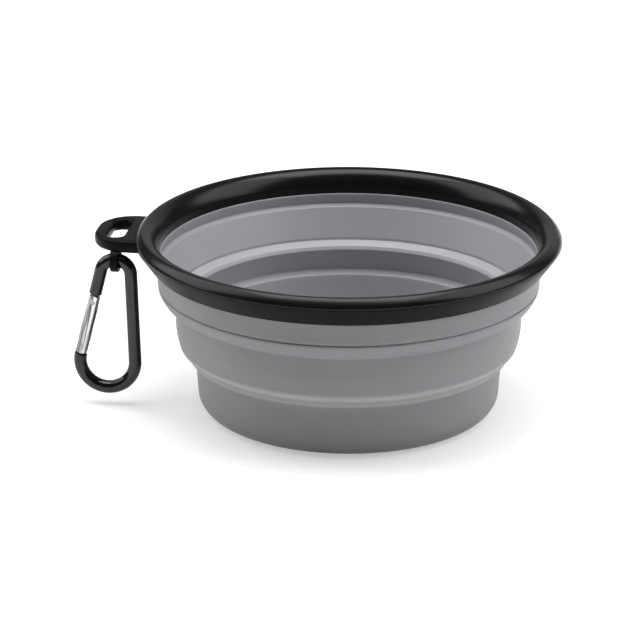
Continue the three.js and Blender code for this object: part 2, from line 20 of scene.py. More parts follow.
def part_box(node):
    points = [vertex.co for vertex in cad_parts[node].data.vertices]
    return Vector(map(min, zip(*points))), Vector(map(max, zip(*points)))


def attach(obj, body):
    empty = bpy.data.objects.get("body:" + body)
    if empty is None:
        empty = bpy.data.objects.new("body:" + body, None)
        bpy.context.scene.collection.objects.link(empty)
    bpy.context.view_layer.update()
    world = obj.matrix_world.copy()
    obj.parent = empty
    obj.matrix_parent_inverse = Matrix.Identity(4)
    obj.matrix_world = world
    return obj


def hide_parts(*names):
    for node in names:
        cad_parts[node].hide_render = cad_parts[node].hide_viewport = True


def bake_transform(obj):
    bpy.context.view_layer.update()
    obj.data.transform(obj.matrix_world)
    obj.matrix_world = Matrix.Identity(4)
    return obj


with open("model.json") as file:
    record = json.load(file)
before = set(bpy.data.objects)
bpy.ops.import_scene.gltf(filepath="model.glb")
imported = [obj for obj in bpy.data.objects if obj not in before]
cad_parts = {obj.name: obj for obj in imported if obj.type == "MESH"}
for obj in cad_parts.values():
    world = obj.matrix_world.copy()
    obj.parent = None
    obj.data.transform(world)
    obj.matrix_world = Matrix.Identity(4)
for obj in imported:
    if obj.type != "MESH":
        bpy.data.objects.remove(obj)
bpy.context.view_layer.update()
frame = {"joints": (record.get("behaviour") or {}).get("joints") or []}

MM = 0.001
WELD = 1e-7            # points nearer than this are one point, in metres
RING_STEPS = 240       # facets round the bowl
PIN_STEPS = 48         # facets round pins and the gate
ROD_STEPS = 40         # facets round the carabiner's rod
WIRE_STEPS = 12        # facets round the spring's wire
CURL_STEPS = 32        # stretches in each curl of the spring
LIMB_STEPS = 10        # stretches along each straight limb of the carabiner
BEND_STEPS = (48, 56)  # stretches in the carabiner's top and bottom bends
CORNER_STEPS = 24      # stretches in each round corner of the lug and its slot
HEAD_STEPS = 32        # stretches in the gate's round head
EASE_STEPS = 5         # stretches in the rounding at a rod's end
EDGE_STEPS = 4         # fineness of the rounding along a plate's edges
SOFT_STEPS = 3         # stretches in a softened edge
CREASE_DEG = 32.0      # edges that turn more than this stay sharp
PAINTED_HIGHLIGHT = "highlight_paint"            # attribute that tells how much painted highlight a spot gets
MIX_FIRST, MIX_SECOND, MIXED = 6, 7, 2  # colour sockets of a mix node
WHITE = (1.0, 1.0, 1.0, 1.0)

log = logging.getLogger("water_bowl")

Point = tuple[float, float]
Point3 = tuple[float, float, float]
Colour = tuple[float, float, float]
Tree = bpy.types.NodeTree
Socket = bpy.types.NodeSocket
Piece = bpy.types.Object
Material = bpy.types.Material


class Body(Enum):
    """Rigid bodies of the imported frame."""

    RIM = "rim"
    MIDDLE = "middle_ring"
    BASE = "base"
    CARABINER = "carabiner"
    GATE = "gate"
    PLUNGER = "plunger"


class Slot(Enum):
    """Material slots of the record."""

    SILICONE = "silicone"
    RIM = "rim_plastic"
    ROD = "carabiner_black"
    GATE = "gate_bright"
    STEEL = "pin_steel"


class Carve(Enum):
    """Ways to combine two solids."""

    UNION = "UNION"
    DIFFERENCE = "DIFFERENCE"
    INTERSECT = "INTERSECT"


def box_mm(node: str) -> tuple[Vector, Vector]:
    """Returns the lowest and highest corner of a frame node in millimetres."""
    low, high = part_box(node)
    return low / MM, high / MM


def joint(name: str) -> dict:
    """Returns the frame's joint of that name."""
    return next(each for each in frame["joints"] if each["name"] == name)


def beside(origin: Point, offset: Point) -> Point:
    """Returns the point at an offset from another one."""
    return (origin[0] + offset[0], origin[1] + offset[1])


@dataclass
class Outline:
    """A flat line of points in millimetres, drawn stretch by stretch."""

    points: list[Vector] = field(default_factory=list)

    def to(self, *ends: Point) -> "Outline":
        """Draws straight on to each end in turn and returns the outline."""
        self.points += [Vector(end) for end in ends]
        return self

    def bend(self, control: Point, end: Point, steps: int = 12) -> "Outline":
        """Draws a curve that leaves towards a control point and arrives from it.

        Args:
            control: Point that pulls the curve.
            end: Where the curve ends.
            steps: Number of stretches.

        Returns:
            The outline itself.
        """
        start, pull, stop = self.points[-1].copy(), Vector(control), Vector(end)
        for step in range(1, steps + 1):
            t = step / steps
            self.points.append(start.lerp(pull, t).lerp(pull.lerp(stop, t), t))
        return self

    def round(self, corner: Point, onward: Point, radius: float, steps: int = 6) -> "Outline":
        """Draws up to a corner and rounds it off towards the next point.

        Args:
            corner: The sharp corner that is rounded.
            onward: A point that the outline heads for after the corner.
            radius: Radius of the rounding.
            steps: Number of stretches in the rounding.

        Returns:
            The outline itself, ending where the rounding ends.
        """
        centre = Vector(corner)
        back = (self.points[-1] - centre).normalized()
        ahead = (Vector(onward) - centre).normalized()
        half = back.angle(ahead) / 2.0
        middle = centre + (back + ahead).normalized() * (radius / math.sin(half))
        spoke = centre + back * (radius / math.tan(half)) - middle
        turn = math.pi - 2.0 * half
        if back.x * ahead.y - back.y * ahead.x > 0.0:
            turn = -turn
        for step in range(steps + 1):
            self.points.append(middle + Matrix.Rotation(turn * step / steps, 2) @ spoke)
        return self

    def arc(self, centre: Point, radius: float, start: float, end: float, steps: int) -> "Outline":
        """Draws part of a circle.

        Args:
            centre: Centre of the circle.
            radius: Its radius.
            start: First angle in radians.
            end: Last angle in radians.
            steps: Number of stretches.

        Returns:
            The outline itself.
        """
        for step in range(steps + 1):
            angle = start + (end - start) * step / steps
            spoke = (radius * math.cos(angle), radius * math.sin(angle))
            self.points.append(Vector(beside(centre, spoke)))
        return self


def add_node(
    tree: Tree, kind: str, inputs: dict | None = None, **settings: object
) -> bpy.types.Node:
    """Adds a node to a tree, sets it up and links it.

    Args:
        tree: Tree that gets the node.
        kind: Blender's name for the node type.
        inputs: Values or sockets for the node's inputs, by name or number.
        **settings: Properties of the node.

    Returns:
        The new node.
    """
    node = tree.nodes.new(kind)
    for name, value in settings.items():
        setattr(node, name, value)
    for key, value in (inputs or {}).items():
        if isinstance(value, Socket):
            tree.links.new(value, node.inputs[key])
        else:
            node.inputs[key].default_value = value
    return node


def new_group(name: str, kind: str, inputs: dict[str, str], outputs: dict[str, str]) -> Tree:
    """Makes an empty node group with named sockets.

    Args:
        name: Name of the group.
        kind: Type of tree.
        inputs: What each input takes, by name.
        outputs: What each output gives, by name.

    Returns:
        The new group.
    """
    tree = bpy.data.node_groups.new(name, kind)
    for side, sockets in (("INPUT", inputs), ("OUTPUT", outputs)):
        for label, content in sockets.items():
            tree.interface.new_socket(label, in_out=side, socket_type=f"NodeSocket{content}")
    return tree


def whole(tree: Tree, operation: str, first: object, second: object) -> Socket:
    """Adds a whole-number sum to a tree and returns its result."""
    inputs = {0: first, 1: second}
    return add_node(tree, "FunctionNodeIntegerMath", inputs, operation=operation).outputs[0]


def maths(tree: Tree, operation: str, first: object, second: object = 0.0) -> Socket:
    """Adds a sum to a tree and returns its result."""
    return add_node(tree, "ShaderNodeMath", {0: first, 1: second}, operation=operation).outputs[0]


def ranged(tree: Tree, value: Socket, limits: dict[str, float]) -> Socket:
    """Adds a change of range to a tree and returns its result."""
    return add_node(tree, "ShaderNodeMapRange", {"Value": value, **limits}).outputs[0]


def mixed(tree: Tree, share: Socket, first: object, second: object) -> Socket:
    """Adds a mix of two colours to a tree and returns its result."""
    inputs = {"Factor": share, MIX_FIRST: first, MIX_SECOND: second}
    return add_node(tree, "ShaderNodeMix", inputs, data_type="RGBA").outputs[MIXED]


def close_tree(tree: Tree, mesh: Socket, material: Socket) -> None:
    """Ends a geometry tree with smooth shading, real geometry and a material.

    Args:
        tree: Tree that is ended.
        mesh: What the tree has made.
        material: Finish that it gets.
    """
    smooth = add_node(tree, "GeometryNodeSetShadeSmooth", {"Geometry": mesh}).outputs[0]
    real = add_node(tree, "GeometryNodeRealizeInstances", {"Geometry": smooth}).outputs[0]
    inputs = {"Geometry": real, "Material": material}
    dressed = add_node(tree, "GeometryNodeSetMaterial", inputs).outputs[0]
    add_node(tree, "NodeGroupOutput", {0: dressed})


def lathe_tree() -> Tree:
    """Makes the tree that turns an outline in the XZ plane about the Z axis.

    Returns:
        A tree with the inputs Outline, Segments, Closing Rows and Material.
    """
    tree = new_group(
        "Turned outline",
        "GeometryNodeTree",
        {"Outline": "Geometry", "Segments": "Int", "Closing Rows": "Int", "Material": "Material"},
        {"Turned": "Geometry"},
    )
    given = add_node(tree, "NodeGroupInput").outputs
    size = add_node(tree, "GeometryNodeAttributeDomainSize", {"Geometry": given["Outline"]})
    count = size.outputs["Point Count"]
    rows = whole(tree, "ADD", count, given["Closing Rows"])
    columns = whole(tree, "ADD", given["Segments"], 1)
    grid = add_node(tree, "GeometryNodeMeshGrid", {"Vertices X": columns, "Vertices Y": rows})
    index = add_node(tree, "GeometryNodeInputIndex").outputs[0]
    row = whole(tree, "MODULO", whole(tree, "MODULO", index, rows), count)
    column = whole(tree, "DIVIDE_FLOOR", index, rows)
    place = add_node(
        tree,
        "GeometryNodeSampleIndex",
        {
            "Geometry": given["Outline"],
            "Index": row,
            "Value": add_node(tree, "GeometryNodeInputPosition").outputs[0],
        },
        data_type="FLOAT_VECTOR",
        domain="POINT",
    )
    parts = add_node(tree, "ShaderNodeSeparateXYZ", {0: place.outputs["Value"]}).outputs
    step = maths(tree, "DIVIDE", 2.0 * math.pi, given["Segments"])
    angle = maths(tree, "MULTIPLY", whole(tree, "MODULO", column, given["Segments"]), step)
    across = maths(tree, "MULTIPLY", parts["X"], maths(tree, "COSINE", angle))
    deep = maths(tree, "MULTIPLY", parts["X"], maths(tree, "SINE", angle))
    spot = add_node(tree, "ShaderNodeCombineXYZ", {0: across, 1: deep, 2: parts["Z"]}).outputs[0]
    shift = {"Geometry": grid.outputs["Mesh"], "Position": spot}
    moved = add_node(tree, "GeometryNodeSetPosition", shift).outputs[0]
    merge = {"Geometry": moved, "Distance": WELD}
    merged = add_node(tree, "GeometryNodeMergeByDistance", merge).outputs[0]
    close_tree(tree, merged, given["Material"])
    return tree


def rod_tree() -> Tree:
    """Makes the tree that runs a round rod along a path of points.

    Returns:
        A tree with the inputs Path, Radius, Sides and Material; the point attribute "taper" scales
        the rod.
    """
    tree = new_group(
        "Rod along a path",
        "GeometryNodeTree",
        {"Path": "Geometry", "Radius": "Float", "Sides": "Int", "Material": "Material"},
        {"Rod": "Geometry"},
    )
    given = add_node(tree, "NodeGroupInput").outputs
    line = add_node(tree, "GeometryNodeMeshToCurve", {"Mesh": given["Path"]})
    sizes = {"Resolution": given["Sides"], "Radius": given["Radius"]}
    ring = add_node(tree, "GeometryNodeCurvePrimitiveCircle", sizes)
    taper = add_node(tree, "GeometryNodeInputNamedAttribute", {"Name": "taper"}, data_type="FLOAT")
    rod = add_node(
        tree,
        "GeometryNodeCurveToMesh",
        {
            "Curve": line.outputs[0],
            "Profile Curve": ring.outputs[0],
            "Scale": taper.outputs["Attribute"],
            "Fill Caps": True,
        },
    )
    close_tree(tree, rod.outputs[0], given["Material"])
    return tree


def new_object(name: str, data: bpy.types.ID) -> Piece:
    """Adds an object to the scene.

    Args:
        name: Name of the object.
        data: Its mesh, curve, lamp or camera.

    Returns:
        The new object.
    """
    obj = bpy.data.objects.new(name, data)
    bpy.context.scene.collection.objects.link(obj)
    return obj


def settled(obj: Piece) -> Piece:
    """Turns what an object shows into a plain mesh with closed seams and outward faces.

    Args:
        obj: Object with or without modifiers; it is removed.

    Returns:
        The plain mesh object, under the same name.
    """
    bpy.context.view_layer.update()
    shown = obj.evaluated_get(bpy.context.evaluated_depsgraph_get())
    mesh = bpy.data.meshes.new_from_object(shown)
    name = obj.name
    bpy.data.objects.remove(obj)
    shape = bmesh.new()
    shape.from_mesh(mesh)
    bmesh.ops.remove_doubles(shape, verts=shape.verts, dist=WELD)
    bmesh.ops.dissolve_degenerate(shape, edges=shape.edges, dist=WELD)
    bmesh.ops.recalc_face_normals(shape, faces=shape.faces)
    shape.to_mesh(mesh)
    shape.free()
    mesh.shade_smooth()
    mesh.set_sharp_from_angle(angle=math.radians(CREASE_DEG))
    return new_object(name, mesh)


def run_tree(
    name: str,
    points: Iterable[Vector],
    tree: Tree,
    inputs: dict,
    taper: list[float] | None = None,
) -> Piece:
    """Feeds a line of points to a geometry tree and keeps what it makes.

    Args:
        name: Name of the piece.
        points: Points in metres, in order.
        tree: Geometry tree.
        inputs: Values of the tree's inputs, by name.
        taper: Scale of the rod at each point, where the tree uses one.

    Returns:
        A plain mesh object.
    """
    spots = list(points)
    mesh = bpy.data.meshes.new(name)
    mesh.from_pydata(spots, [(i, i + 1) for i in range(len(spots) - 1)], [])
    if taper is not None:
        mesh.attributes.new("taper", "FLOAT", "POINT").data.foreach_set("value", taper)
    obj = new_object(name, mesh)
    modifier = obj.modifiers.new(tree.name, "NODES")
    modifier.node_group = tree
    for item in tree.interface.items_tree:
        if item.in_out == "INPUT" and item.name in inputs:
            modifier[item.identifier] = inputs[item.name]
    return settled(obj)


@dataclass
class Workshop:
    """Makes plain meshes from outlines, paths and other meshes."""

    lathe: Tree = field(default_factory=lathe_tree)
    rods: Tree = field(default_factory=rod_tree)

    def turned(
        self,
        name: str,
        outline: Outline,
        material: Material | None = None,
        steps: int = RING_STEPS,
        closed: bool = True,
    ) -> Piece:
        """Turns an outline of radii and levels about the Z axis.

        Args:
            name: Name of the piece.
            outline: Radius and level of each point, in millimetres.
            material: Its finish.
            steps: Facets round the axis.
            closed: Whether the last point joins the first; an outline that ends on the axis is
                open.

        Returns:
            The turned mesh.
        """
        points = [Vector((max(p.x, 0.0), 0.0, p.y)) * MM for p in outline.points]
        inputs = {"Segments": steps, "Closing Rows": int(closed), "Material": material}
        return run_tree(name, points, self.lathe, inputs)

    def rod(
        self,
        name: str,
        path: list[Vector],
        radius: float,
        sides: int,
        ease: float,
        material: Material,
    ) -> Piece:
        """Runs a round rod with eased ends along a path.

        Args:
            name: Name of the piece.
            path: Points in millimetres.
            radius: Radius of the rod.
            sides: Facets round the rod.
            ease: Radius of the rounding at both ends.
            material: Its finish.

        Returns:
            The rod as a mesh.
        """
        turns = [math.pi / 2 * step / EASE_STEPS for step in range(EASE_STEPS + 1)]
        easing = [ease * (1.0 - math.cos(turn)) for turn in turns]
        slim = [1.0 - ease * (1.0 - math.sin(turn)) / radius for turn in turns]
        first, last = path[0], path[-1]
        lead = (path[1] - first).normalized()
        tail = (path[-2] - last).normalized()
        points = [first + lead * reach for reach in easing] + path[1:-1]
        points += [last + tail * reach for reach in reversed(easing)]
        taper = slim + [1.0] * (len(path) - 2) + slim[::-1]
        inputs = {"Radius": radius * MM, "Sides": sides, "Material": material}
        return run_tree(name, [p * MM for p in points], self.rods, inputs, taper)

    def plate(
        self,
        name: str,
        outlines: list[Outline],
        thickness: float,
        edge: float,
        material: Material | None = None,
    ) -> Piece:
        """Makes a flat plate in the XY plane with rounded edges.

        Args:
            name: Name of the piece.
            outlines: The rim of the plate and then its holes, in millimetres.
            thickness: Thickness across Z, half above and half below.
            edge: Radius of the rounding along every edge.
            material: Its finish.

        Returns:
            The plate as a mesh.
        """
        curve = bpy.data.curves.new(name, "CURVE")
        curve.dimensions = "2D"
        curve.fill_mode = "BOTH"
        curve.extrude = (thickness / 2 - edge) * MM
        curve.bevel_depth = edge * MM
        curve.bevel_resolution = EDGE_STEPS
        curve.offset = -edge * MM
        for outline in outlines:
            spline = curve.splines.new("POLY")
            spline.points.add(len(outline.points) - 1)
            for spot, p in zip(spline.points, outline.points):
                spot.co = (p.x * MM, p.y * MM, 0.0, 1.0)
            spline.use_cyclic_u = True
        if material is not None:
            curve.materials.append(material)
        return settled(new_object(name, curve))

    def block(self, low: Vector, high: Vector) -> Piece:
        """Makes a plain block as a cutter.

        Args:
            low: Its lowest corner, in millimetres.
            high: Its highest corner.

        Returns:
            The block as a mesh.
        """
        shape = bmesh.new()
        size = (high - low) * MM
        place = Matrix.Translation((low + high) / 2 * MM) @ Matrix.Diagonal((*size, 1.0))
        bmesh.ops.create_cube(shape, size=1.0, matrix=place)
        mesh = bpy.data.meshes.new("block")
        shape.to_mesh(mesh)
        shape.free()
        return new_object("block", mesh)

    def bar(self, radius: float, low: float, high: float, ease: float = 0.0) -> Outline:
        """Draws a round bar on the axis.

        Args:
            radius: Radius of the bar.
            low: Level of its lower end.
            high: Level of its upper end.
            ease: Radius of the rounding at both ends; 0 leaves them sharp.

        Returns:
            An open outline that starts and ends on the axis.
        """
        outline = Outline().to((0.0, low))
        if ease > 0.0:
            outline.round((radius, low), (radius, high), ease)
            outline.round((radius, high), (0.0, high), ease)
        else:
            outline.to((radius, low), (radius, high))
        return outline.to((0.0, high))

    def carve(self, obj: Piece, how: Carve, *others: Piece) -> Piece:
        """Combines an object with others and removes the others.

        Args:
            obj: Object that is changed; it is replaced.
            how: Union, difference or intersection.
            *others: Objects that act on it.

        Returns:
            The combined mesh.
        """
        for other in others:
            modifier = obj.modifiers.new(how.value, "BOOLEAN")
            modifier.operation = how.value
            modifier.solver = "EXACT"
            modifier.object = other
        made = settled(obj)
        for other in others:
            bpy.data.objects.remove(other)
        return made

    def softened(self, obj: Piece, width: float) -> Piece:
        """Rounds every sharp edge of a mesh.

        Args:
            obj: Object that is changed; it is replaced.
            width: Width of the rounding, in millimetres.

        Returns:
            The softened mesh.
        """
        modifier = obj.modifiers.new("Softened", "BEVEL")
        modifier.width = width * MM
        modifier.segments = SOFT_STEPS
        modifier.limit_method = "ANGLE"
        modifier.angle_limit = math.radians(CREASE_DEG)
        modifier.use_clamp_overlap = True
        return settled(obj)


def turn_about(obj: Piece, matrix: Matrix) -> Piece:
    """Moves a mesh itself, so that its object stays at the origin.

    Args:
        obj: Object that has the mesh.
        matrix: Move and turn, in metres.

    Returns:
        The same object.
    """
    obj.data.transform(matrix)
    obj.data.update()
    return obj


def keep(obj: Piece, body: Body, slot: Slot, *nodes: str) -> None:
    """Hands a finished piece to the frame.

    Args:
        obj: The finished piece.
        body: Body that it moves with.
        slot: Slot of the record that its finish comes from; not used.
        *nodes: Frame nodes that it stands for.
    """
    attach(obj, body.value)
    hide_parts(*nodes)
    log.info("%s: %d faces on %s", obj.name, len(obj.data.polygons), body.value)


def span(
    obj: Piece,
    bodies: tuple[Body, Body],
    node: str,
) -> None:
    """Keeps a finished piece that stands between two bodies in the bowl's axes and hides its frame
    node.

    Args:
        obj: The finished piece.
        bodies: Body at its start and body at its end.
        node: Frame node that it stands for.
    """
    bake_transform(obj)
    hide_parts(node)
    first, second = (body.value for body in bodies)
    log.info("%s: %d faces from %s to %s", obj.name, len(obj.data.polygons), first, second)


def mottle_group() -> Tree:
    """Makes the shared group for slow variation and fine grain.

    Returns:
        A shader group with the inputs Vector, Cloud Scale and Grain Scale, and the outputs Cloud
        and Grain, both between 0 and 1.
    """
    group = new_group(
        "Mottle",
        "ShaderNodeTree",
        {"Vector": "Vector", "Cloud Scale": "Float", "Grain Scale": "Float"},
        {"Cloud": "Float", "Grain": "Float"},
    )
    given = add_node(group, "NodeGroupInput").outputs
    layers = {}
    for layer, detail, roughness in (("Cloud", 3.0, 0.55), ("Grain", 2.0, 0.6)):
        noise = {"Detail": detail, "Roughness": roughness}
        noise |= {"Vector": given["Vector"], "Scale": given[f"{layer} Scale"]}
        layers[layer] = add_node(group, "ShaderNodeTexNoise", noise).outputs["Fac"]
    add_node(group, "NodeGroupOutput", layers)
    return group


@dataclass(frozen=True)
class Finish:
    """Surface of one material: its colour, gloss and small irregularities."""

    name: str
    colour: Colour
    drift: Colour               # colour that the slow variation leads to
    roughness: Point            # gloss at both ends of the slow variation
    grain_height: float         # depth of the fine grain in millimetres
    cloud_scale: float = 60.0   # per metre
    grain_scale: float = 2200.0
    metallic: float = 0.0
    specular: float = 0.5
    edges: Point = (0.0, 1.0)   # levels of the slow variation between which the colour changes
    painted_highlight: Colour | None = None  # pale colour painted on as highlight lines
    along: Point3 | None = None   # direction of drawn lines; on the gate they carry painted dark reflection streaks
    squeeze: float = 0.04         # how much the drawn lines are stretched along it

    def material(self, mottle: Tree) -> Material:
        """Makes the material.

        Args:
            mottle: The shared group for variation and grain.

        Returns:
            A material that reads object coordinates and, if it has a painted highlight colour, the
            painted highlight lines marked on the mesh.
        """
        material = bpy.data.materials.new(self.name)
        material.use_nodes = True
        tree = material.node_tree
        shader = tree.nodes["Principled BSDF"].inputs
        shader["Metallic"].default_value = self.metallic
        shader["Specular IOR Level"].default_value = self.specular
        spot = add_node(tree, "ShaderNodeTexCoord").outputs["Object"]
        if self.along is not None:
            lean = Vector((0.0, 0.0, 1.0)).rotation_difference(Vector(self.along)).inverted()
            turn = {"Vector": spot, "Rotation": lean.to_euler()}
            turned = add_node(tree, "ShaderNodeMapping", turn).outputs[0]
            squeeze = {"Vector": turned, "Scale": (1.0, 1.0, self.squeeze)}
            spot = add_node(tree, "ShaderNodeMapping", squeeze).outputs[0]
        scales = {"Vector": spot, "Cloud Scale": self.cloud_scale, "Grain Scale": self.grain_scale}
        marks = add_node(tree, "ShaderNodeGroup", scales, node_tree=mottle).outputs
        low, high = self.edges
        share = ranged(tree, marks["Cloud"], {"From Min": low, "From Max": high})
        colour = mixed(tree, share, (*self.colour, 1.0), (*self.drift, 1.0))
        if self.painted_highlight is not None:
            # Mixes in the pale painted highlight lines where the mesh is marked.
            highlight_paint = add_node(tree, "ShaderNodeAttribute", attribute_name=PAINTED_HIGHLIGHT).outputs["Fac"]
            colour = mixed(tree, highlight_paint, colour, (*self.painted_highlight, 1.0))
        smooth, rough = self.roughness
        gloss = ranged(tree, marks["Cloud"], {"To Min": smooth, "To Max": rough})
        relief = {"Height": marks["Grain"], "Strength": 1.0, "Distance": self.grain_height * MM}
        bump = add_node(tree, "ShaderNodeBump", relief).outputs[0]
        for name, socket in (("Base Color", colour), ("Roughness", gloss), ("Normal", bump)):
            tree.links.new(socket, shader[name])
        return material


FINISHES = {
    Slot.SILICONE: Finish(
        name="Grey silicone",
        colour=(0.283, 0.28, 0.297),
        drift=(0.311, 0.308, 0.326),
        roughness=(0.46, 0.56),
        grain_height=0.004,
        cloud_scale=45.0,
        # The pale colour paints highlight lines on the lower fold.
        painted_highlight=(0.6, 0.597, 0.615),
    ),
    Slot.RIM: Finish(
        name="Black moulded plastic",
        colour=(0.004, 0.004, 0.0043),
        drift=(0.0055, 0.0055, 0.0058),
        roughness=(0.2, 0.27),
        grain_height=0.001,
        specular=0.22,
    ),
    Slot.ROD: Finish(
        name="Black anodised rod",
        colour=(0.004, 0.004, 0.0043),
        drift=(0.006, 0.006, 0.0064),
        roughness=(0.13, 0.2),
        grain_height=0.001,
        cloud_scale=150.0,
    ),
    # The gate's drift to near black, in sharp streaks stretched along its axis, paints dark
    # reflection streaks onto the drawn metal.
    Slot.GATE: Finish(
        name="Polished gate",
        colour=(0.8, 0.805, 0.815),
        drift=(0.07, 0.07, 0.075),
        roughness=(0.12, 0.24),
        grain_height=0.0012,
        cloud_scale=700.0,
        grain_scale=4000.0,
        metallic=1.0,
        edges=(0.42, 0.58),
        along=tuple(joint("plunger_slide")["axis"]),
    ),
    Slot.STEEL: Finish(
        name="Plain steel",
        colour=(0.52, 0.53, 0.55),
        drift=(0.42, 0.43, 0.45),
        roughness=(0.26, 0.38),
        grain_height=0.001,
        cloud_scale=700.0,
        metallic=1.0,
    ),
}

CARRIER_FINISH = Finish(
    name="Black moulded plastic, matt",
    colour=(0.004, 0.004, 0.0042),
    drift=(0.006, 0.006, 0.0063),
    roughness=(0.32, 0.4),
    grain_height=0.002,
    specular=0.06,
)


@dataclass
class Rim:
    """Hard rim: a crowned cap ring over a carrier ring that has the lug and its eyelet."""

    outer: float
    top: float
    skirt_end: float
    lug_end: float
    hook: Vector                # centre of the bend that hangs in the eyelet
    height: float = 9.3
    width: float = 7.4
    seam_depth: float = 3.1
    seam_gap: float = 0.12
    shell: float = 2.4
    skirt_wall: float = 1.3
    lip_wall: float = 1.0
    corner: Point = (1.5, 2.4)  # run and rise of the cavity's cut corner
    crown: Point = (4.8, 4.9)   # width and height of the crown's inner side
    crown_ease: float = 3.0
    crown_root: Point = (0.15, 0.4)  # inset and half height of the bend at the crown's root
    shoulder: Point = (0.5, 1.6)  # inset and drop of the crown's outer shoulder
    shoulder_ease: float = 1.3
    brow: float = 0.3           # height of the crown's upright face
    edge: float = 0.12
    foot_reach: float = 1.4     # inner face of the rim to the carrier's seat
    foot_wall: float = 1.5
    foot_step: float = 0.2
    foot_edge: float = 0.4
    cone_depth: float = 1.0     # carrier's upper edge down to its inner cone
    setback: float = 0.1        # carrier's edge inside the cap's
    top_wall: float = 2.3
    tongue: float = 1.0         # thickness of the ridge that centres the cap
    tongue_height: float = 0.7
    lug_thickness: float = 4.0
    lug_edge: float = 1.3
    lug_half: float = 13.0
    lug_corner: float = 11.0
    lug_band: float = 4.3       # lug's end to its slot
    slot_width: float = 5.3
    slot_length: float = 17.0
    lug_root: float = 6.0       # how far the lug's plate goes in under the rim
    eyelet_wall: float = 1.25
    eyelet_thickness: float = 2.6
    eyelet_edge: float = 0.5

    @classmethod
    def from_frame(cls) -> "Rim":
        """Reads the rim's main sizes from the frame.

        Returns:
            The rim, before it is built.
        """
        cap_low, cap_high = box_mm("rim_cap_ring")
        carrier_low, _ = box_mm("rim_carrier_ring")
        hook = Vector(joint("carabiner_swing")["pos_m"]) / MM
        return cls(
            outer=cap_high.y,
            top=cap_high.z,
            skirt_end=cap_low.z,
            lug_end=carrier_low.x,
            hook=hook,
        )

    @property
    def inner(self) -> float:
        """Radius of the face inside the rim."""
        return self.outer - self.width

    @property
    def foot(self) -> float:
        """Level of the rim's lower edge."""
        return self.top - self.height

    @property
    def carrier_top(self) -> float:
        """Level of the carrier's upper edge."""
        return self.top - self.seam_depth - self.seam_gap

    def cap_outline(self) -> Outline:
        """Draws the section of the cap ring.

        Returns:
            A closed outline that starts at the cavity's cut corner.
        """
        seam = self.top - self.seam_depth
        ceiling = self.top - self.shell
        inset, drop = self.shoulder
        shoulder = self.outer - inset
        ridge = self.inner + self.crown[0]
        lip = self.outer - self.lip_wall
        skirt = self.inner + self.skirt_wall
        outline = Outline().to((skirt + self.corner[0], ceiling), (skirt, ceiling - self.corner[1]))
        outline.round((skirt, self.skirt_end), (self.inner, self.skirt_end), self.edge)
        outline.round((self.inner, self.skirt_end), (self.inner, self.top), self.edge)
        root = (self.inner, self.top - self.crown[1])
        inward, half = self.crown_root
        outline.to(beside(root, (0.0, -half))).bend(root, beside(root, (inward, half)), 4)
        outline.bend((ridge - self.crown_ease, self.top), (ridge, self.top), 28)
        outline.bend((shoulder - self.shoulder_ease, self.top), (shoulder, self.top - drop), 18)
        outline.bend((self.outer, ceiling), (self.outer, ceiling - self.brow), 10)
        outline.round((self.outer, seam), (lip, seam), self.edge)
        return outline.to((lip, seam), (lip, ceiling))

    def carrier_outline(self) -> Outline:
        """Draws the section of the carrier ring without its lug.

        Returns:
            A closed outline that starts at the seat inside the foot.
        """
        foot_inner = self.inner + self.foot_reach
        foot_outer = foot_inner + self.foot_wall
        edge_radius = self.outer - self.setback
        cone_top = self.outer - self.top_wall
        tongue_out = cone_top + self.tongue
        tip = self.carrier_top + self.tongue_height
        outline = Outline().to((foot_inner, self.foot + self.foot_step))
        outline.round((foot_inner, self.foot), (foot_outer, self.foot), self.edge)
        outline.round((foot_outer, self.foot), (edge_radius, self.carrier_top), self.foot_edge)
        outline.round((edge_radius, self.carrier_top), (tongue_out, self.carrier_top), self.edge)
        return outline.to(
            (tongue_out, self.carrier_top),
            (tongue_out, tip),
            (cone_top, tip),
            (cone_top, self.carrier_top - self.cone_depth),
        )

    def lug_outlines(self) -> list[Outline]:
        """Draws the lug from above.

        Returns:
            Its rim and its slot.
        """
        start = -(self.outer - self.lug_root)
        end = self.lug_end
        centre = end + self.lug_corner
        reach = self.lug_half - self.lug_corner
        rim = Outline().to((start, self.lug_half))
        rim.arc((centre, reach), self.lug_corner, math.pi / 2, math.pi, CORNER_STEPS)
        rim.arc((centre, -reach), self.lug_corner, math.pi, 3 * math.pi / 2, CORNER_STEPS)
        rim.to((start, -self.lug_half))
        radius = self.slot_width / 2
        middle = end + self.lug_band + radius
        half = self.slot_length / 2 - radius
        slot = Outline().arc((middle, half), radius, 0.0, math.pi, CORNER_STEPS)
        slot.arc((middle, -half), radius, math.pi, 2 * math.pi, CORNER_STEPS)
        return [rim, slot]

    def eyelet(self, shop: Workshop, material: Material) -> Piece:
        """Makes the ring under the lug's front arm, with a hole that clears the hook's bend.

        Args:
            shop: Makes the meshes.
            material: Finish of the rim.

        Returns:
            The ring, in its place.
        """
        bend, rod, fit = Carabiner.top_bend, Carabiner.rod, Carabiner.fit
        low = math.sqrt((bend - rod) ** 2 - (self.eyelet_thickness / 2) ** 2) - fit
        high = bend + rod + fit
        hole = (high - low) / 2
        radii = (hole + self.eyelet_wall, hole)
        turn = 2.0 * math.pi * (PIN_STEPS - 1) / PIN_STEPS
        circles = [Outline().arc((0.0, 0.0), radius, 0.0, turn, PIN_STEPS - 1) for radius in radii]
        ring = shop.plate("eyelet", circles, self.eyelet_thickness, self.eyelet_edge, material)
        centre = self.hook + Vector((0.0, 0.0, (high + low) / 2))
        place = Matrix.Translation(centre * MM) @ Matrix.Rotation(math.pi / 2, 4, "Y")
        return turn_about(ring, place)

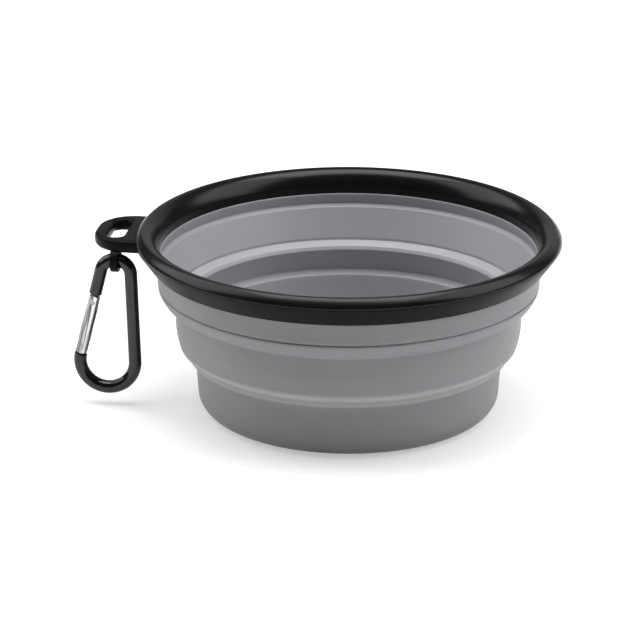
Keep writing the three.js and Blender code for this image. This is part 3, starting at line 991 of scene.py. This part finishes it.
    def build(self, shop: Workshop, material: Material, matt: Material) -> None:
        """Makes both rings.

        Args:
            shop: Makes the meshes.
            material: Finish of the cap ring.
            matt: Finish of the carrier ring.
        """
        cap = shop.turned("rim_cap", self.cap_outline(), material)
        keep(cap, Body.RIM, Slot.RIM, "rim_cap_ring")

        lug = shop.plate("lug", self.lug_outlines(), self.lug_thickness, self.lug_edge, matt)
        middle = self.carrier_top - self.lug_thickness / 2
        turn_about(lug, Matrix.Translation((0.0, 0.0, middle * MM)))
        root = self.foot_wall / 2
        seat = self.inner + self.foot_reach + root
        cone = self.outer - self.top_wall + root
        trim = Outline().to(
            (0.0, self.foot - root),
            (seat, self.foot - root),
            (seat, self.foot + self.foot_step),
            (cone, self.carrier_top - self.cone_depth),
            (cone, self.carrier_top + root),
            (0.0, self.carrier_top + root),
        )
        cutter = shop.turned("trim", trim, closed=False)
        lug = shop.carve(lug, Carve.DIFFERENCE, cutter)
        ring = shop.turned("rim_carrier", self.carrier_outline(), matt)
        carrier = shop.carve(ring, Carve.UNION, lug, self.eyelet(shop, matt))
        keep(carrier, Body.RIM, Slot.RIM, "rim_carrier_ring")


@dataclass
class SiliconeBowl:
    """Folding wall of silicone: three stiff rings with a fold between each pair."""

    upper_radius: float
    middle_radius: float
    base_radius: float
    upper_top: float        # top of the upper fold
    upper_foot: float       # foot of the upper fold
    lower_top: float
    lower_foot: float
    rim_foot: float
    skirt_end: float
    bead_top: float
    bead_outer: float
    bead_inner: float
    bead_corner: Point
    neck: float
    wall: float = 2.0
    overlap: float = 0.3               # a fold's foot runs this far into the level below it

    # Upper band: the clamped bead, the neck inside it and the line and thin bead outside.
    bead_fit: float = 0.3              # room between the bead and the rim's walls
    bead_foot: Point = (0.5, 0.2)      # from the upper band's face and the rim's foot
    bead_height: float = 1.4
    skirt_gap: float = 0.05            # room under the rim's inner skirt
    neck_set: float = 0.2              # the neck stands this far in from the rim's inner face
    neck_foot: Point = (0.8, 0.9)      # foot of the neck, out from it and above the slope
    neck_round: float = 0.3
    slope_place: Point = (-0.5, -4.4)  # start of the slope, from the neck and the rim's skirt
    slope_round: float = 0.5
    groove: float = 0.45               # depth of the line above the upper fold
    line_height: float = 0.4
    line_rise: float = 0.05            # the line's upper side rises outwards
    line_round: float = 0.1
    lip: float = 0.15                  # how far the thin bead stands out
    lip_levels: Point = (0.5, 1.6)     # its foot and its top, above the upper fold
    lip_end: Point = (0.1, 2.2)        # where it has run out
    lip_round: float = 0.35

    # Upper fold: a rounded shoulder and a tucked foot outside, a groove and a ledge inside.
    shoulder: tuple[tuple[Point, Point], ...] = (
        ((-0.05, -0.05), (-0.05, -0.5)),
        ((-0.05, -1.1), (-0.6, -2.0)),
    )  # pull and end of each bend, from the upper fold's face and top
    tuck_pull: Point = (-1.8, 1.0)     # from the upper fold's face and foot
    tuck_end: Point = (0.5, 0.1)       # from the middle band's face and the upper fold's foot
    crease_place: Point = (0.4, 1.9)   # from the same
    crease_round: float = 0.3
    groove_place: Point = (-0.1, 1.1)  # from the crease's radius and the upper fold's foot
    groove_round: float = 0.15
    ledge_place: Point = (-2.7, 0.1)   # from the middle band's face and the upper fold's foot
    ledge_round: float = 0.4

    # Middle band: it draws in at its foot, and its inner wall leans.
    draw: float = 0.55
    draw_levels: Point = (4.6, 2.4)    # start and pull of that bend, above the lower fold
    edge_place: Point = (-1.3, -1.0)   # from the middle band's inside and the upper fold's foot
    edge_round: float = 0.5
    notch_place: Point = (0.1, -0.3)   # from the ledge's lip, so that the joint stays hidden
    knee_place: Point = (0.6, 2.7)     # from the middle band's inside and the lower fold's top
    heel_place: Point = (-1.9, 1.7)    # from the same
    heel_round: float = 0.4

    # Lower fold: two steps and a hollow outside, a crease and a ledge inside.
    roll_pull: Point = (-0.85, -1.3)   # from the middle band's face and the lower fold's top
    roll_end: Point = (-1.1, -2.2)     # from the same, as the four points of the steps
    ridge: Point = (-1.2, -2.6)
    recess: Point = (-3.4, -4.3)
    riser: Point = (-3.7, -5.6)
    step: Point = (-3.75, -5.9)
    step_rounds: Point3 = (0.3, 0.5, 0.3)  # on the ridge, in the recess and on the second step
    hollow_start: Point = (1.6, 1.3)   # from the base cup's face and the lower fold's foot
    hollow_pull: Point = (0.2, 0.6)    # from the same
    lower_ledge: float = 0.4           # lower fold's foot to its inner ledge
    lower_crease_place: Point = (1.0, 2.1)  # from the base cup's face and the lower fold's foot
    lower_rounds: Point = (0.6, 0.9)   # on the lower ledge's edge and in its crease
    highlight_lines: tuple[Point3, ...] = ((3.1, 1.9, 1.0), (5.9, 0.6, 0.5))  # painted highlight lines: depth, half width, strength

    # Base cup.
    floor: float = 2.2
    base_round: float = 6.5
    floor_round: float = 4.5
    base_draw: float = 1.0             # the base cup draws in this far

    @classmethod
    def from_frame(cls, rim: Rim) -> "SiliconeBowl":
        """Reads the wall's main sizes from the frame.

        Args:
            rim: The rim that clamps the bead.

        Returns:
            The bowl, before it is built.
        """
        upper_low, upper_high = box_mm("bowl_upper_fold")
        lower_low, lower_high = box_mm("bowl_lower_fold")
        _, band_high = box_mm("bowl_upper_band")
        _, middle_high = box_mm("bowl_middle_band")
        _, base_high = box_mm("bowl_base_cup")
        return cls(
            upper_radius=upper_high.y,
            middle_radius=middle_high.y,
            base_radius=base_high.y,
            upper_top=upper_high.z,
            upper_foot=upper_low.z,
            lower_top=lower_high.z,
            lower_foot=lower_low.z,
            rim_foot=rim.foot,
            skirt_end=rim.skirt_end,
            bead_top=band_high.z,
            bead_outer=rim.outer - rim.top_wall - cls.bead_fit,
            bead_inner=rim.inner + rim.skirt_wall + cls.bead_fit,
            bead_corner=rim.corner,
            neck=rim.inner - cls.neck_set,
        )

    @property
    def upper_split(self) -> float:
        """Level where the upper fold meets the middle band."""
        return self.upper_foot - self.overlap

    @property
    def lower_split(self) -> float:
        """Level where the lower fold meets the base cup."""
        return self.lower_foot - self.overlap

    @property
    def inside(self) -> float:
        """Radius inside the middle band."""
        return self.middle_radius - self.wall

    @property
    def slope_top(self) -> Point:
        """Point inside the upper band where its slope starts."""
        return beside((self.neck, self.skirt_end), self.slope_place)

    @property
    def upper_crease(self) -> Point:
        """Top of the groove between the upper slope and its ledge."""
        return beside((self.middle_radius, self.upper_foot), self.crease_place)

    @property
    def upper_ledge(self) -> Point:
        """Front of the upper ledge's flat stretch."""
        return beside((self.middle_radius, self.upper_foot), self.ledge_place)

    @property
    def upper_edge(self) -> Point:
        """Inner edge of the upper ledge."""
        return beside((self.inside, self.upper_foot), self.edge_place)

    @property
    def lip_point(self) -> Point:
        """Point under the upper ledge where the fold meets the middle band."""
        return self.on_slope(self.upper_ledge, self.upper_edge, self.upper_split)

    @property
    def heel(self) -> Point:
        """Lower inner corner of the middle band."""
        return beside((self.inside, self.lower_top), self.heel_place)

    @property
    def lower_crease(self) -> Point:
        """Inner corner between the lower slope and its ledge."""
        return beside((self.base_radius, self.lower_foot), self.lower_crease_place)

    def on_slope(self, start: Point, end: Point, level: float) -> Point:
        """Returns the point at a level on the line between two points."""
        share = (level - start[1]) / (end[1] - start[1])
        return (start[0] + (end[0] - start[0]) * share, level)

    def upper_band(self) -> Outline:
        """Draws the section of the upper band with its clamped bead.

        Returns:
            A closed outline that starts on the inner slope.
        """
        top, face = self.upper_top, self.upper_radius
        run, rise = self.bead_corner
        outline = Outline().to(self.on_slope(self.slope_top, self.upper_crease, top))

        # Lower edge, with a line cut in above the fold and a thin bead above the line.
        line, front = face - self.groove, face + self.lip
        line_top = top + self.line_height
        lip_foot, lip_top = (top + level for level in self.lip_levels)
        outline.to((line, top))
        outline.round((line, line_top), (face, line_top + self.line_rise), self.line_round, 3)
        outline.round((front, lip_foot), (front, lip_top), self.lip_round, 6)
        outline.bend((front, lip_top), beside((face, top), self.lip_end), 6)

        # Bead between the two rim rings.
        ceiling, floor = self.bead_top, self.skirt_end - self.skirt_gap
        outline.to(beside((face, self.rim_foot), self.bead_foot))
        outline.to((self.bead_outer, ceiling - self.bead_height), (self.bead_outer, ceiling))
        outline.to((self.bead_inner + run, ceiling))
        outline.to((self.bead_inner, ceiling - rise), (self.bead_inner, floor))

        # Neck under the rim's skirt, then the slope.
        foot = (self.neck + self.neck_foot[0], self.slope_top[1] + self.neck_foot[1])
        outline.round((self.neck, floor), (self.neck, top), self.neck_round, 4)
        outline.round(foot, self.slope_top, self.neck_round, 4)
        return outline.round(self.slope_top, self.upper_crease, self.slope_round, 4)

    def upper_fold(self) -> Outline:
        """Draws the section of the upper fold.

        Returns:
            A closed outline that starts at the line under the upper band.
        """
        top, foot = self.upper_top, self.upper_foot
        face, ring = self.upper_radius, self.middle_radius
        crease = self.upper_crease
        groove = beside((crease[0], foot), self.groove_place)

        # Outside: a rounded shoulder that tucks in under the band.
        outline = Outline().to((face - self.groove, top))
        for pull, end in self.shoulder:
            outline.bend(beside((face, top), pull), beside((face, top), end), 6)
        tuck = beside((face, foot), self.tuck_pull)
        outline.bend(tuck, beside((ring, foot), self.tuck_end), 10)
        outline.bend((ring, foot), (ring, self.upper_split), 6)

        # Inside: the ledge, the groove behind it and the slope.
        outline.to(self.lip_point)
        outline.round(self.upper_ledge, groove, self.ledge_round, 6)
        outline.round(groove, crease, self.groove_round, 4)
        outline.round(crease, self.slope_top, self.crease_round, 4)
        return outline.to(self.on_slope(self.slope_top, crease, top))

    def middle_band(self) -> Outline:
        """Draws the section of the middle band.

        Returns:
            A closed outline that starts under the upper ledge.
        """
        ring, low = self.middle_radius, self.lower_top
        knee = beside((self.inside, low), self.knee_place)
        notch = beside(self.lip_point, self.notch_place)
        start, pull = (low + level for level in self.draw_levels)
        outline = Outline().to(self.lip_point, notch, (ring, self.upper_split), (ring, start))
        outline.bend((ring, pull), (ring - self.draw, low), 8)
        outline.to(self.on_slope(self.heel, self.lower_crease, low))
        outline.round(self.heel, knee, self.heel_round, 4)
        outline.round(knee, self.upper_edge, self.edge_round, 4)
        return outline.round(self.upper_edge, self.upper_ledge, self.edge_round, 8)

    def lower_fold(self) -> Outline:
        """Draws the section of the lower fold, which steps in twice on its way down.

        Returns:
            A closed outline that starts under the middle band's outer face.
        """
        base = self.base_radius
        inside = base - self.wall
        top, foot = (self.middle_radius, self.lower_top), (base, self.lower_foot)
        crease = self.lower_crease

        # Outside: two steps, then a hollow down to the base cup.
        ridge, recess = beside(top, self.ridge), beside(top, self.recess)
        ridge_round, recess_round, step_round = self.step_rounds
        outline = Outline().to(beside(top, (-self.draw, 0.0)))
        outline.bend(beside(top, self.roll_pull), beside(top, self.roll_end), 8)
        outline.round(ridge, recess, ridge_round, 5)
        outline.round(recess, beside(top, self.riser), recess_round, 6)
        outline.round(beside(top, self.step), beside(foot, self.hollow_start), step_round, 4)
        outline.bend(beside(foot, self.hollow_pull), (base, self.lower_split), 10)

        # Inside: the ledge's edge, the crease and the slope.
        edge_round, crease_round = self.lower_rounds
        outline.to((inside, self.lower_split))
        outline.round((inside, self.lower_foot + self.lower_ledge), crease, edge_round, 8)
        outline.round(crease, self.heel, crease_round, 8)
        return outline.to(self.on_slope(self.heel, crease, self.lower_top))

    def base_cup(self) -> Outline:
        """Draws the section of the base cup.

        Returns:
            An open outline from the underside's centre to the floor's.
        """
        base = self.base_radius
        inside = base - self.wall
        top = self.lower_split
        outline = Outline().to((0.0, 0.0))
        outline.round((base - self.base_draw, 0.0), (base, top), self.base_round, 14)
        outline.to((base, top), (inside, top))
        outline.round((inside, self.floor), (0.0, self.floor), self.floor_round, 10)
        return outline.to((0.0, self.floor))

    def build(self, shop: Workshop, material: Material) -> None:
        """Makes the five stretches of the wall.

        Args:
            shop: Makes the meshes.
            material: Finish of the silicone.
        """
        band = shop.turned("silicone_upper_band", self.upper_band(), material)
        keep(band, Body.RIM, Slot.SILICONE, "bowl_upper_band")
        middle = shop.turned("silicone_middle_band", self.middle_band(), material)
        keep(middle, Body.MIDDLE, Slot.SILICONE, "bowl_middle_band")
        cup = shop.turned("silicone_base_cup", self.base_cup(), material, closed=False)
        keep(cup, Body.BASE, Slot.SILICONE, "bowl_base_cup")
        fold = shop.turned("silicone_upper_fold", self.upper_fold(), material)
        span(fold, (Body.RIM, Body.MIDDLE), "bowl_upper_fold")
        # The lower fold gets two painted highlight lines round its outside.
        fold = self.highlight_paint(shop.turned("silicone_lower_fold", self.lower_fold(), material))
        span(fold, (Body.MIDDLE, Body.BASE), "bowl_lower_fold")

    def highlight_paint(self, obj: Piece) -> Piece:
        """Marks painted highlight lines round the outside of the lower fold.

        Args:
            obj: The fold.

        Returns:
            The same object.
        """
        # Painted highlight lines, strongest at each listed depth below the fold's top.
        marks = obj.data.attributes.new(PAINTED_HIGHLIGHT, "FLOAT", "POINT")
        for vertex, highlight in zip(obj.data.vertices, marks.data):
            if vertex.co.xy.length / MM < self.base_radius + self.wall:
                continue
            depth = self.lower_top - vertex.co.z / MM
            for line, half, strength in self.highlight_lines:
                highlight.value = max(highlight.value, strength * max(0.0, 1.0 - abs(depth - line) / half))
        return obj


@dataclass
class Carabiner:
    """Bent rod with a hinged, sprung gate, hung in the eyelet."""

    pivot: Vector
    hinge: Vector
    gate_axis: Vector
    rod: float = 2.0
    top_bend: float = 4.7
    bottom_bend: float = 8.6
    drop: float = 28.5
    tilt_deg: float = 6.0
    hinge_along: float = 10.5     # start of the gate's limb to the hinge pin
    gap: float = 0.4              # rod to gate
    rod_ease: float = 0.35
    fork_slot: float = 2.2
    fork_depth: float = 2.6
    tang: Point = (2.4, 1.6)      # width and thickness
    back_round: float = 0.3       # corners of the tang and the nose's back
    heel: float = 1.6             # hinge pin to the tang's end
    root: float = 1.0             # how far tang and nose go into the rod
    hinge_pin: float = 0.75
    latch_pin: float = 0.6
    pin_gap: float = 0.1
    pin_recess: float = 0.05
    pin_ease: float = 0.15
    latch_rise: float = 2.2
    slot_rise: float = 2.2
    nose_room: float = 0.9
    nose_wall: float = 0.7
    nose_lip: float = 0.8
    nose_reach: float = 0.5
    mouth_round: float = 0.25
    hook_round: float = 0.4       # inside the nose's hook
    tip_round: float = 0.2
    bore: float = 1.15
    bore_wall: float = 1.2        # latch slot to the bore's end
    plunger: Point = (0.95, 2.6)  # radius and length
    plunger_ease: float = 0.2
    wire: float = 0.35
    wire_ease: float = 0.05
    curls: int = 8
    fit: float = 0.3              # room round moving pieces
    soften: float = 0.12
    margin: Point = (0.5, 1.0)    # room beside and below the gate in its outer form

    @classmethod
    def from_frame(cls) -> "Carabiner":
        """Reads the carabiner's place from the frame's joints.

        Returns:
            The carabiner, before it is built.
        """
        pivot = Vector(joint("carabiner_swing")["pos_m"]) / MM
        hinge = Vector(joint("gate_open")["pos_m"]) / MM
        return cls(pivot=pivot, hinge=hinge, gate_axis=Vector(joint("plunger_slide")["axis"]))

    def limb_normal(self, side: int) -> Vector:
        """Works out which way the limb on one side faces.

        Args:
            side: -1 for the gate's limb, 1 for the spine.

        Returns:
            The outward direction, across and up.
        """
        axis = Vector((0.0, -self.drop))
        along = (self.top_bend - self.bottom_bend) / axis.length
        across = side * math.sqrt(1.0 - along * along)
        axis.normalize()
        return Vector((axis.x * along - axis.y * across, axis.y * along + axis.x * across))

    @property
    def limb(self) -> float:
        """Length of the straight limb that the gate stands in.

        Returns:
            The length in millimetres.
        """
        normal = self.limb_normal(-1)
        end = Vector((0.0, -self.drop)) + normal * self.bottom_bend
        return (end - normal * self.top_bend).length

    @property
    def nose_level(self) -> float:
        """Level of the nose along the gate, from the hinge pin."""
        return self.hinge_along - self.limb

    @property
    def latch_level(self) -> float:
        """Level of the latch pin along the gate, from the hinge pin."""
        return self.nose_level + self.gap + self.latch_rise

    @property
    def onto_gate(self) -> Matrix:
        """Matrix from the gate's own frame to the bowl's."""
        lean = math.atan2(-self.gate_axis.x, -self.gate_axis.z)
        return Matrix.Translation(self.hinge * MM) @ Matrix.Rotation(lean, 4, "Y")

    def rod_path(self) -> list[Vector]:
        """Draws the rod's centre line from the hinge shoulder round to the nose.

        Returns:
            Points in millimetres, in the bowl's axes.
        """
        gate, spine = self.limb_normal(-1), self.limb_normal(1)
        bottom = Vector((0.0, -self.drop))
        top_point = gate * self.top_bend
        down = (bottom + gate * self.bottom_bend - top_point).normalized()
        shoulder = top_point + down * (self.hinge_along - self.rod - self.gap)
        gate_turn = math.atan2(gate.y, gate.x) % (2.0 * math.pi)
        spine_turn = math.atan2(spine.y, spine.x)
        line = Outline()
        line.to(*[shoulder.lerp(top_point, i / LIMB_STEPS) for i in range(LIMB_STEPS)])
        line.arc((0.0, 0.0), self.top_bend, gate_turn, spine_turn, BEND_STEPS[0])
        start = line.points[-1].copy()
        stop = bottom + spine * self.bottom_bend
        line.to(*[start.lerp(stop, i / LIMB_STEPS) for i in range(1, LIMB_STEPS)])
        last_turn = gate_turn - 2.0 * math.pi
        line.arc(tuple(bottom), self.bottom_bend, spine_turn, last_turn, BEND_STEPS[1])
        swing = Matrix.Rotation(math.radians(self.tilt_deg), 3, "Y")
        return [self.pivot + swing @ Vector((p.x, 0.0, p.y)) for p in line.points]

    def upright(self, shop: Workshop, outline: Outline, thickness: float, edge: float) -> Piece:
        """Makes a plate that stands across the gate, in the gate's own frame.

        Args:
            shop: Makes the meshes.
            outline: Across and along the gate.
            thickness: Thickness of the plate.
            edge: Radius of the rounding along its edges.

        Returns:
            The plate.
        """
        plate = shop.plate("plate", [outline], thickness, edge)
        return turn_about(plate, Matrix.Rotation(math.pi / 2, 4, "X"))

    def cross_bar(self, shop: Workshop, outline: Outline, level: float) -> Piece:
        """Makes a round bar across the gate, in the gate's own frame.

        Args:
            shop: Makes the meshes.
            outline: Open outline of the bar.
            level: Level along the gate, from the hinge pin.

        Returns:
            The bar.
        """
        bar = shop.turned("bar", outline, steps=PIN_STEPS, closed=False)
        place = Matrix.Translation((0.0, 0.0, level * MM)) @ Matrix.Rotation(math.pi / 2, 4, "X")
        return turn_about(bar, place)

    def build_frame(self, shop: Workshop, material: Material) -> None:
        """Makes the bent rod with its tang and nose.

        Args:
            shop: Makes the meshes.
            material: Finish of the rod.
        """
        width, thickness = self.tang
        half = width / 2
        shoulder = self.rod + self.gap + self.root
        tang = Outline().to((-half, shoulder))
        tang.round((-half, -self.heel), (half, -self.heel), self.back_round, 4)
        tang.round((half, -self.heel), (half, shoulder), self.back_round, 4)
        tang.to((half, shoulder))
        room, level, reach = self.nose_room, self.latch_level, self.nose_reach
        floor, ceiling = level - room, level + room
        outer = -room - self.nose_wall
        tip = ceiling + self.nose_lip
        root = self.nose_level - self.root
        nose = Outline().to((outer, root), (-outer, root))
        for corner, onward, radius in (
            ((-outer, floor), (-room, floor), self.mouth_round),
            ((-room, floor), (-room, ceiling), self.hook_round),
            ((-room, ceiling), (reach, ceiling), self.hook_round),
            ((reach, ceiling), (reach, tip), self.tip_round),
            ((reach, tip), (outer, tip), self.tip_round),
            ((outer, tip), (outer, level), self.back_round),
        ):
            nose.round(corner, onward, radius, 4)
        hole = shop.bar(self.hinge_pin + self.pin_gap, -self.fork_slot, self.fork_slot)
        plates = [self.upright(shop, each, thickness, self.soften) for each in (tang, nose)]
        plates[0] = shop.carve(plates[0], Carve.DIFFERENCE, self.cross_bar(shop, hole, 0.0))
        for plate in plates:
            turn_about(plate, self.onto_gate)
        rod = shop.rod("rod_frame", self.rod_path(), self.rod, ROD_STEPS, self.rod_ease, material)
        keep(shop.carve(rod, Carve.UNION, *plates), Body.CARABINER, Slot.ROD, "carabiner_frame")

    def build_gate(self, shop: Workshop, material: Material) -> None:
        """Makes the forked, bored gate.

        Args:
            shop: Makes the meshes.
            material: Finish of the gate.
        """
        radius, end = self.rod, self.nose_level + self.gap
        beyond = 2.0 * radius
        slot_end = self.latch_level + self.slot_rise
        past, below = radius + self.margin[0], end - self.margin[1]
        side = Outline().to((-past, below), (past, below), (past, 0.0))
        side.arc((0.0, 0.0), radius, 0.0, math.pi, HEAD_STEPS).to((-past, 0.0))
        bar = Outline().to((0.0, end)).round((radius, end), (radius, 0.0), self.back_round)
        bar.to((radius, beyond), (0.0, beyond))
        gate = shop.turned("gate_rod", bar, material, PIN_STEPS, closed=False)
        gate = shop.carve(gate, Carve.INTERSECT, self.upright(shop, side, 2.0 * beyond, 0.0))
        half = self.fork_slot / 2
        bore = shop.bar(self.bore, slot_end + self.bore_wall, 0.0)
        cuts = [
            shop.block(Vector((-beyond, -half, -self.fork_depth)), Vector((beyond, half, beyond))),
            shop.block(Vector((-beyond, -half, end - beyond)), Vector((beyond, half, slot_end))),
            shop.turned("bore", bore, steps=PIN_STEPS, closed=False),
        ]
        for pin, level in ((self.hinge_pin, 0.0), (self.latch_pin, self.latch_level)):
            hole = shop.bar(pin + self.pin_gap / 2, -beyond, beyond)
            cuts.append(self.cross_bar(shop, hole, level))
        gate = shop.softened(shop.carve(gate, Carve.DIFFERENCE, *cuts), self.soften)
        keep(turn_about(gate, self.onto_gate), Body.GATE, Slot.GATE, "carabiner_gate")

    def build_action(self, shop: Workshop, material: Material) -> None:
        """Makes the two pins, the spring and the plunger.

        Args:
            shop: Makes the meshes.
            material: Finish of the small steel pieces.
        """
        reach = self.rod - self.pin_recess
        for name, radius, level, node in (
            ("hinge_rivet", self.hinge_pin, 0.0, "gate_hinge_pin"),
            ("latch_rivet", self.latch_pin, self.latch_level, "gate_latch_pin"),
        ):
            pin = self.cross_bar(shop, shop.bar(radius, -reach, reach, self.pin_ease), level)
            pin.name = name
            pin.data.materials.append(material)
            keep(turn_about(pin, self.onto_gate), Body.GATE, Slot.STEEL, node)
        radius, length = self.plunger
        top = -self.heel - self.fit
        bar = shop.bar(radius, top - length, top, self.plunger_ease)
        pin = shop.turned("spring_plunger", bar, material, PIN_STEPS, closed=False)
        keep(turn_about(pin, self.onto_gate), Body.PLUNGER, Slot.STEEL, "gate_plunger")

        wire = self.wire / 2
        low = self.latch_level + self.slot_rise + self.bore_wall + self.fit + wire
        high = top - length - self.fit - wire
        coil_radius = self.bore - self.fit - wire
        steps = self.curls * CURL_STEPS
        path = []
        for step in range(steps + 1):
            angle = 2.0 * math.pi * self.curls * step / steps
            level = low + (high - low) * step / steps
            spoke = (coil_radius * math.cos(angle), coil_radius * math.sin(angle))
            path.append(Vector((*spoke, level)))
        coil = shop.rod("gate_coil", path, wire, WIRE_STEPS, self.wire_ease, material)
        turn_about(coil, self.onto_gate)
        span(coil, (Body.GATE, Body.PLUNGER), "gate_spring")


def face(obj: Piece, target: Vector) -> None:
    """Turns a lamp or a camera so that it looks at a target."""
    obj.rotation_euler = (target - obj.location).to_track_quat("-Z", "Y").to_euler()


@dataclass(frozen=True)
class Lamp:
    """Soft panel that faces the bowl."""

    name: str
    place: Point3  # in metres
    size: Point    # width and height in metres
    power: float   # in watts

    def hang(self, target: Vector) -> None:
        """Hangs the panel so that it isn't seen itself.

        Args:
            target: Point that it faces, in metres.
        """
        data = bpy.data.lights.new(self.name, "AREA")
        data.shape = "RECTANGLE"
        data.size, data.size_y = self.size
        data.energy = self.power
        lamp = new_object(self.name, data)
        lamp.location = self.place
        face(lamp, target)
        lamp.visible_camera = False


@dataclass
class Studio:
    """White table, soft lamps and the camera."""

    target: Vector = field(default_factory=lambda: Vector((0.0, 0.0, 0.0287)))
    aim: Vector = field(default_factory=lambda: Vector((-0.00862, -0.00137, 0.02783)))
    distance: float = 1.29785
    azimuth_deg: float = 9.0
    elevation_deg: float = 19.797
    lens: float = 238.3
    near: float = 0.05        # the camera sees nothing nearer than this
    ambient: float = 0.05
    table: float = 0.64       # how much light the table throws back
    table_glow: float = 0.44  # what it adds for the camera, so that it looks white
    table_size: float = 6.0
    table_rough: float = 0.9
    table_specular: float = 0.1
    lamps: tuple[Lamp, ...] = (
        Lamp("overhead", (0.0, 0.03, 1.25), (1.3, 0.9), 22.5),
        Lamp("left", (-1.05, 0.1, 0.85), (1.1, 1.0), 9.4),
        Lamp("right", (1.05, 0.1, 0.85), (1.1, 1.0), 9.4),
        Lamp("back", (0.0, 1.7, 0.65), (2.2, 0.9), 2.4),
    )

    def camera(self) -> None:
        """Places the camera at the photograph's angle."""
        turn, rise = math.radians(self.azimuth_deg), math.radians(self.elevation_deg)
        level = math.cos(rise)
        direction = Vector((math.sin(turn) * level, -math.cos(turn) * level, math.sin(rise)))
        data = bpy.data.cameras.new("camera")
        data.lens = self.lens
        data.clip_start = self.near
        camera = new_object("camera", data)
        camera.location = self.target + direction * self.distance
        face(camera, self.aim)
        bpy.context.scene.camera = camera

    def floor(self) -> None:
        """Lays a wide white table under the bowl."""
        shape = bmesh.new()
        bmesh.ops.create_grid(shape, x_segments=1, y_segments=1, size=self.table_size)
        mesh = bpy.data.meshes.new("table")
        shape.to_mesh(mesh)
        shape.free()
        table = new_object("table", mesh)
        material = bpy.data.materials.new("White table")
        material.use_nodes = True
        tree = material.node_tree
        shader = tree.nodes["Principled BSDF"].inputs
        shader["Base Color"].default_value = (self.table, self.table, self.table, 1.0)
        shader["Roughness"].default_value = self.table_rough
        shader["Specular IOR Level"].default_value = self.table_specular
        shader["Emission Color"].default_value = WHITE
        path = add_node(tree, "ShaderNodeLightPath").outputs
        seen = maths(tree, "MAXIMUM", path["Is Camera Ray"], path["Is Glossy Ray"])
        seen = maths(tree, "MAXIMUM", seen, path["Is Transmission Ray"])
        glow = maths(tree, "MULTIPLY", seen, self.table_glow)
        tree.links.new(glow, shader["Emission Strength"])
        mesh.materials.append(material)

    def world(self) -> None:
        """Sets a dim even surround that looks white to the camera."""
        world = bpy.data.worlds.new("surround")
        world.use_nodes = True
        bpy.context.scene.world = world
        tree = world.node_tree
        seen = add_node(tree, "ShaderNodeLightPath").outputs["Is Camera Ray"]
        level = ranged(tree, seen, {"To Min": self.ambient, "To Max": 1.0})
        surround = tree.nodes["Background"].inputs
        surround["Color"].default_value = WHITE
        tree.links.new(level, surround["Strength"])

    def build(self) -> None:
        """Sets up camera, table, lamps and view."""
        self.camera()
        self.floor()
        self.world()
        for lamp in self.lamps:
            lamp.hang(self.target)
        bpy.context.scene.view_settings.view_transform = "Standard"
        log.info("studio set")


def main() -> None:
    """Builds the bowl and its studio."""
    logging.basicConfig(level=logging.INFO, format="%(message)s")
    mottle = mottle_group()
    dressed = {slot: finish.material(mottle) for slot, finish in FINISHES.items()}
    shop = Workshop()
    rim = Rim.from_frame()
    rim.build(shop, dressed[Slot.RIM], CARRIER_FINISH.material(mottle))
    SiliconeBowl.from_frame(rim).build(shop, dressed[Slot.SILICONE])
    carabiner = Carabiner.from_frame()
    carabiner.build_frame(shop, dressed[Slot.ROD])
    carabiner.build_gate(shop, dressed[Slot.GATE])
    carabiner.build_action(shop, dressed[Slot.STEEL])
    Studio().build()


if __name__ == "__main__":
    main()
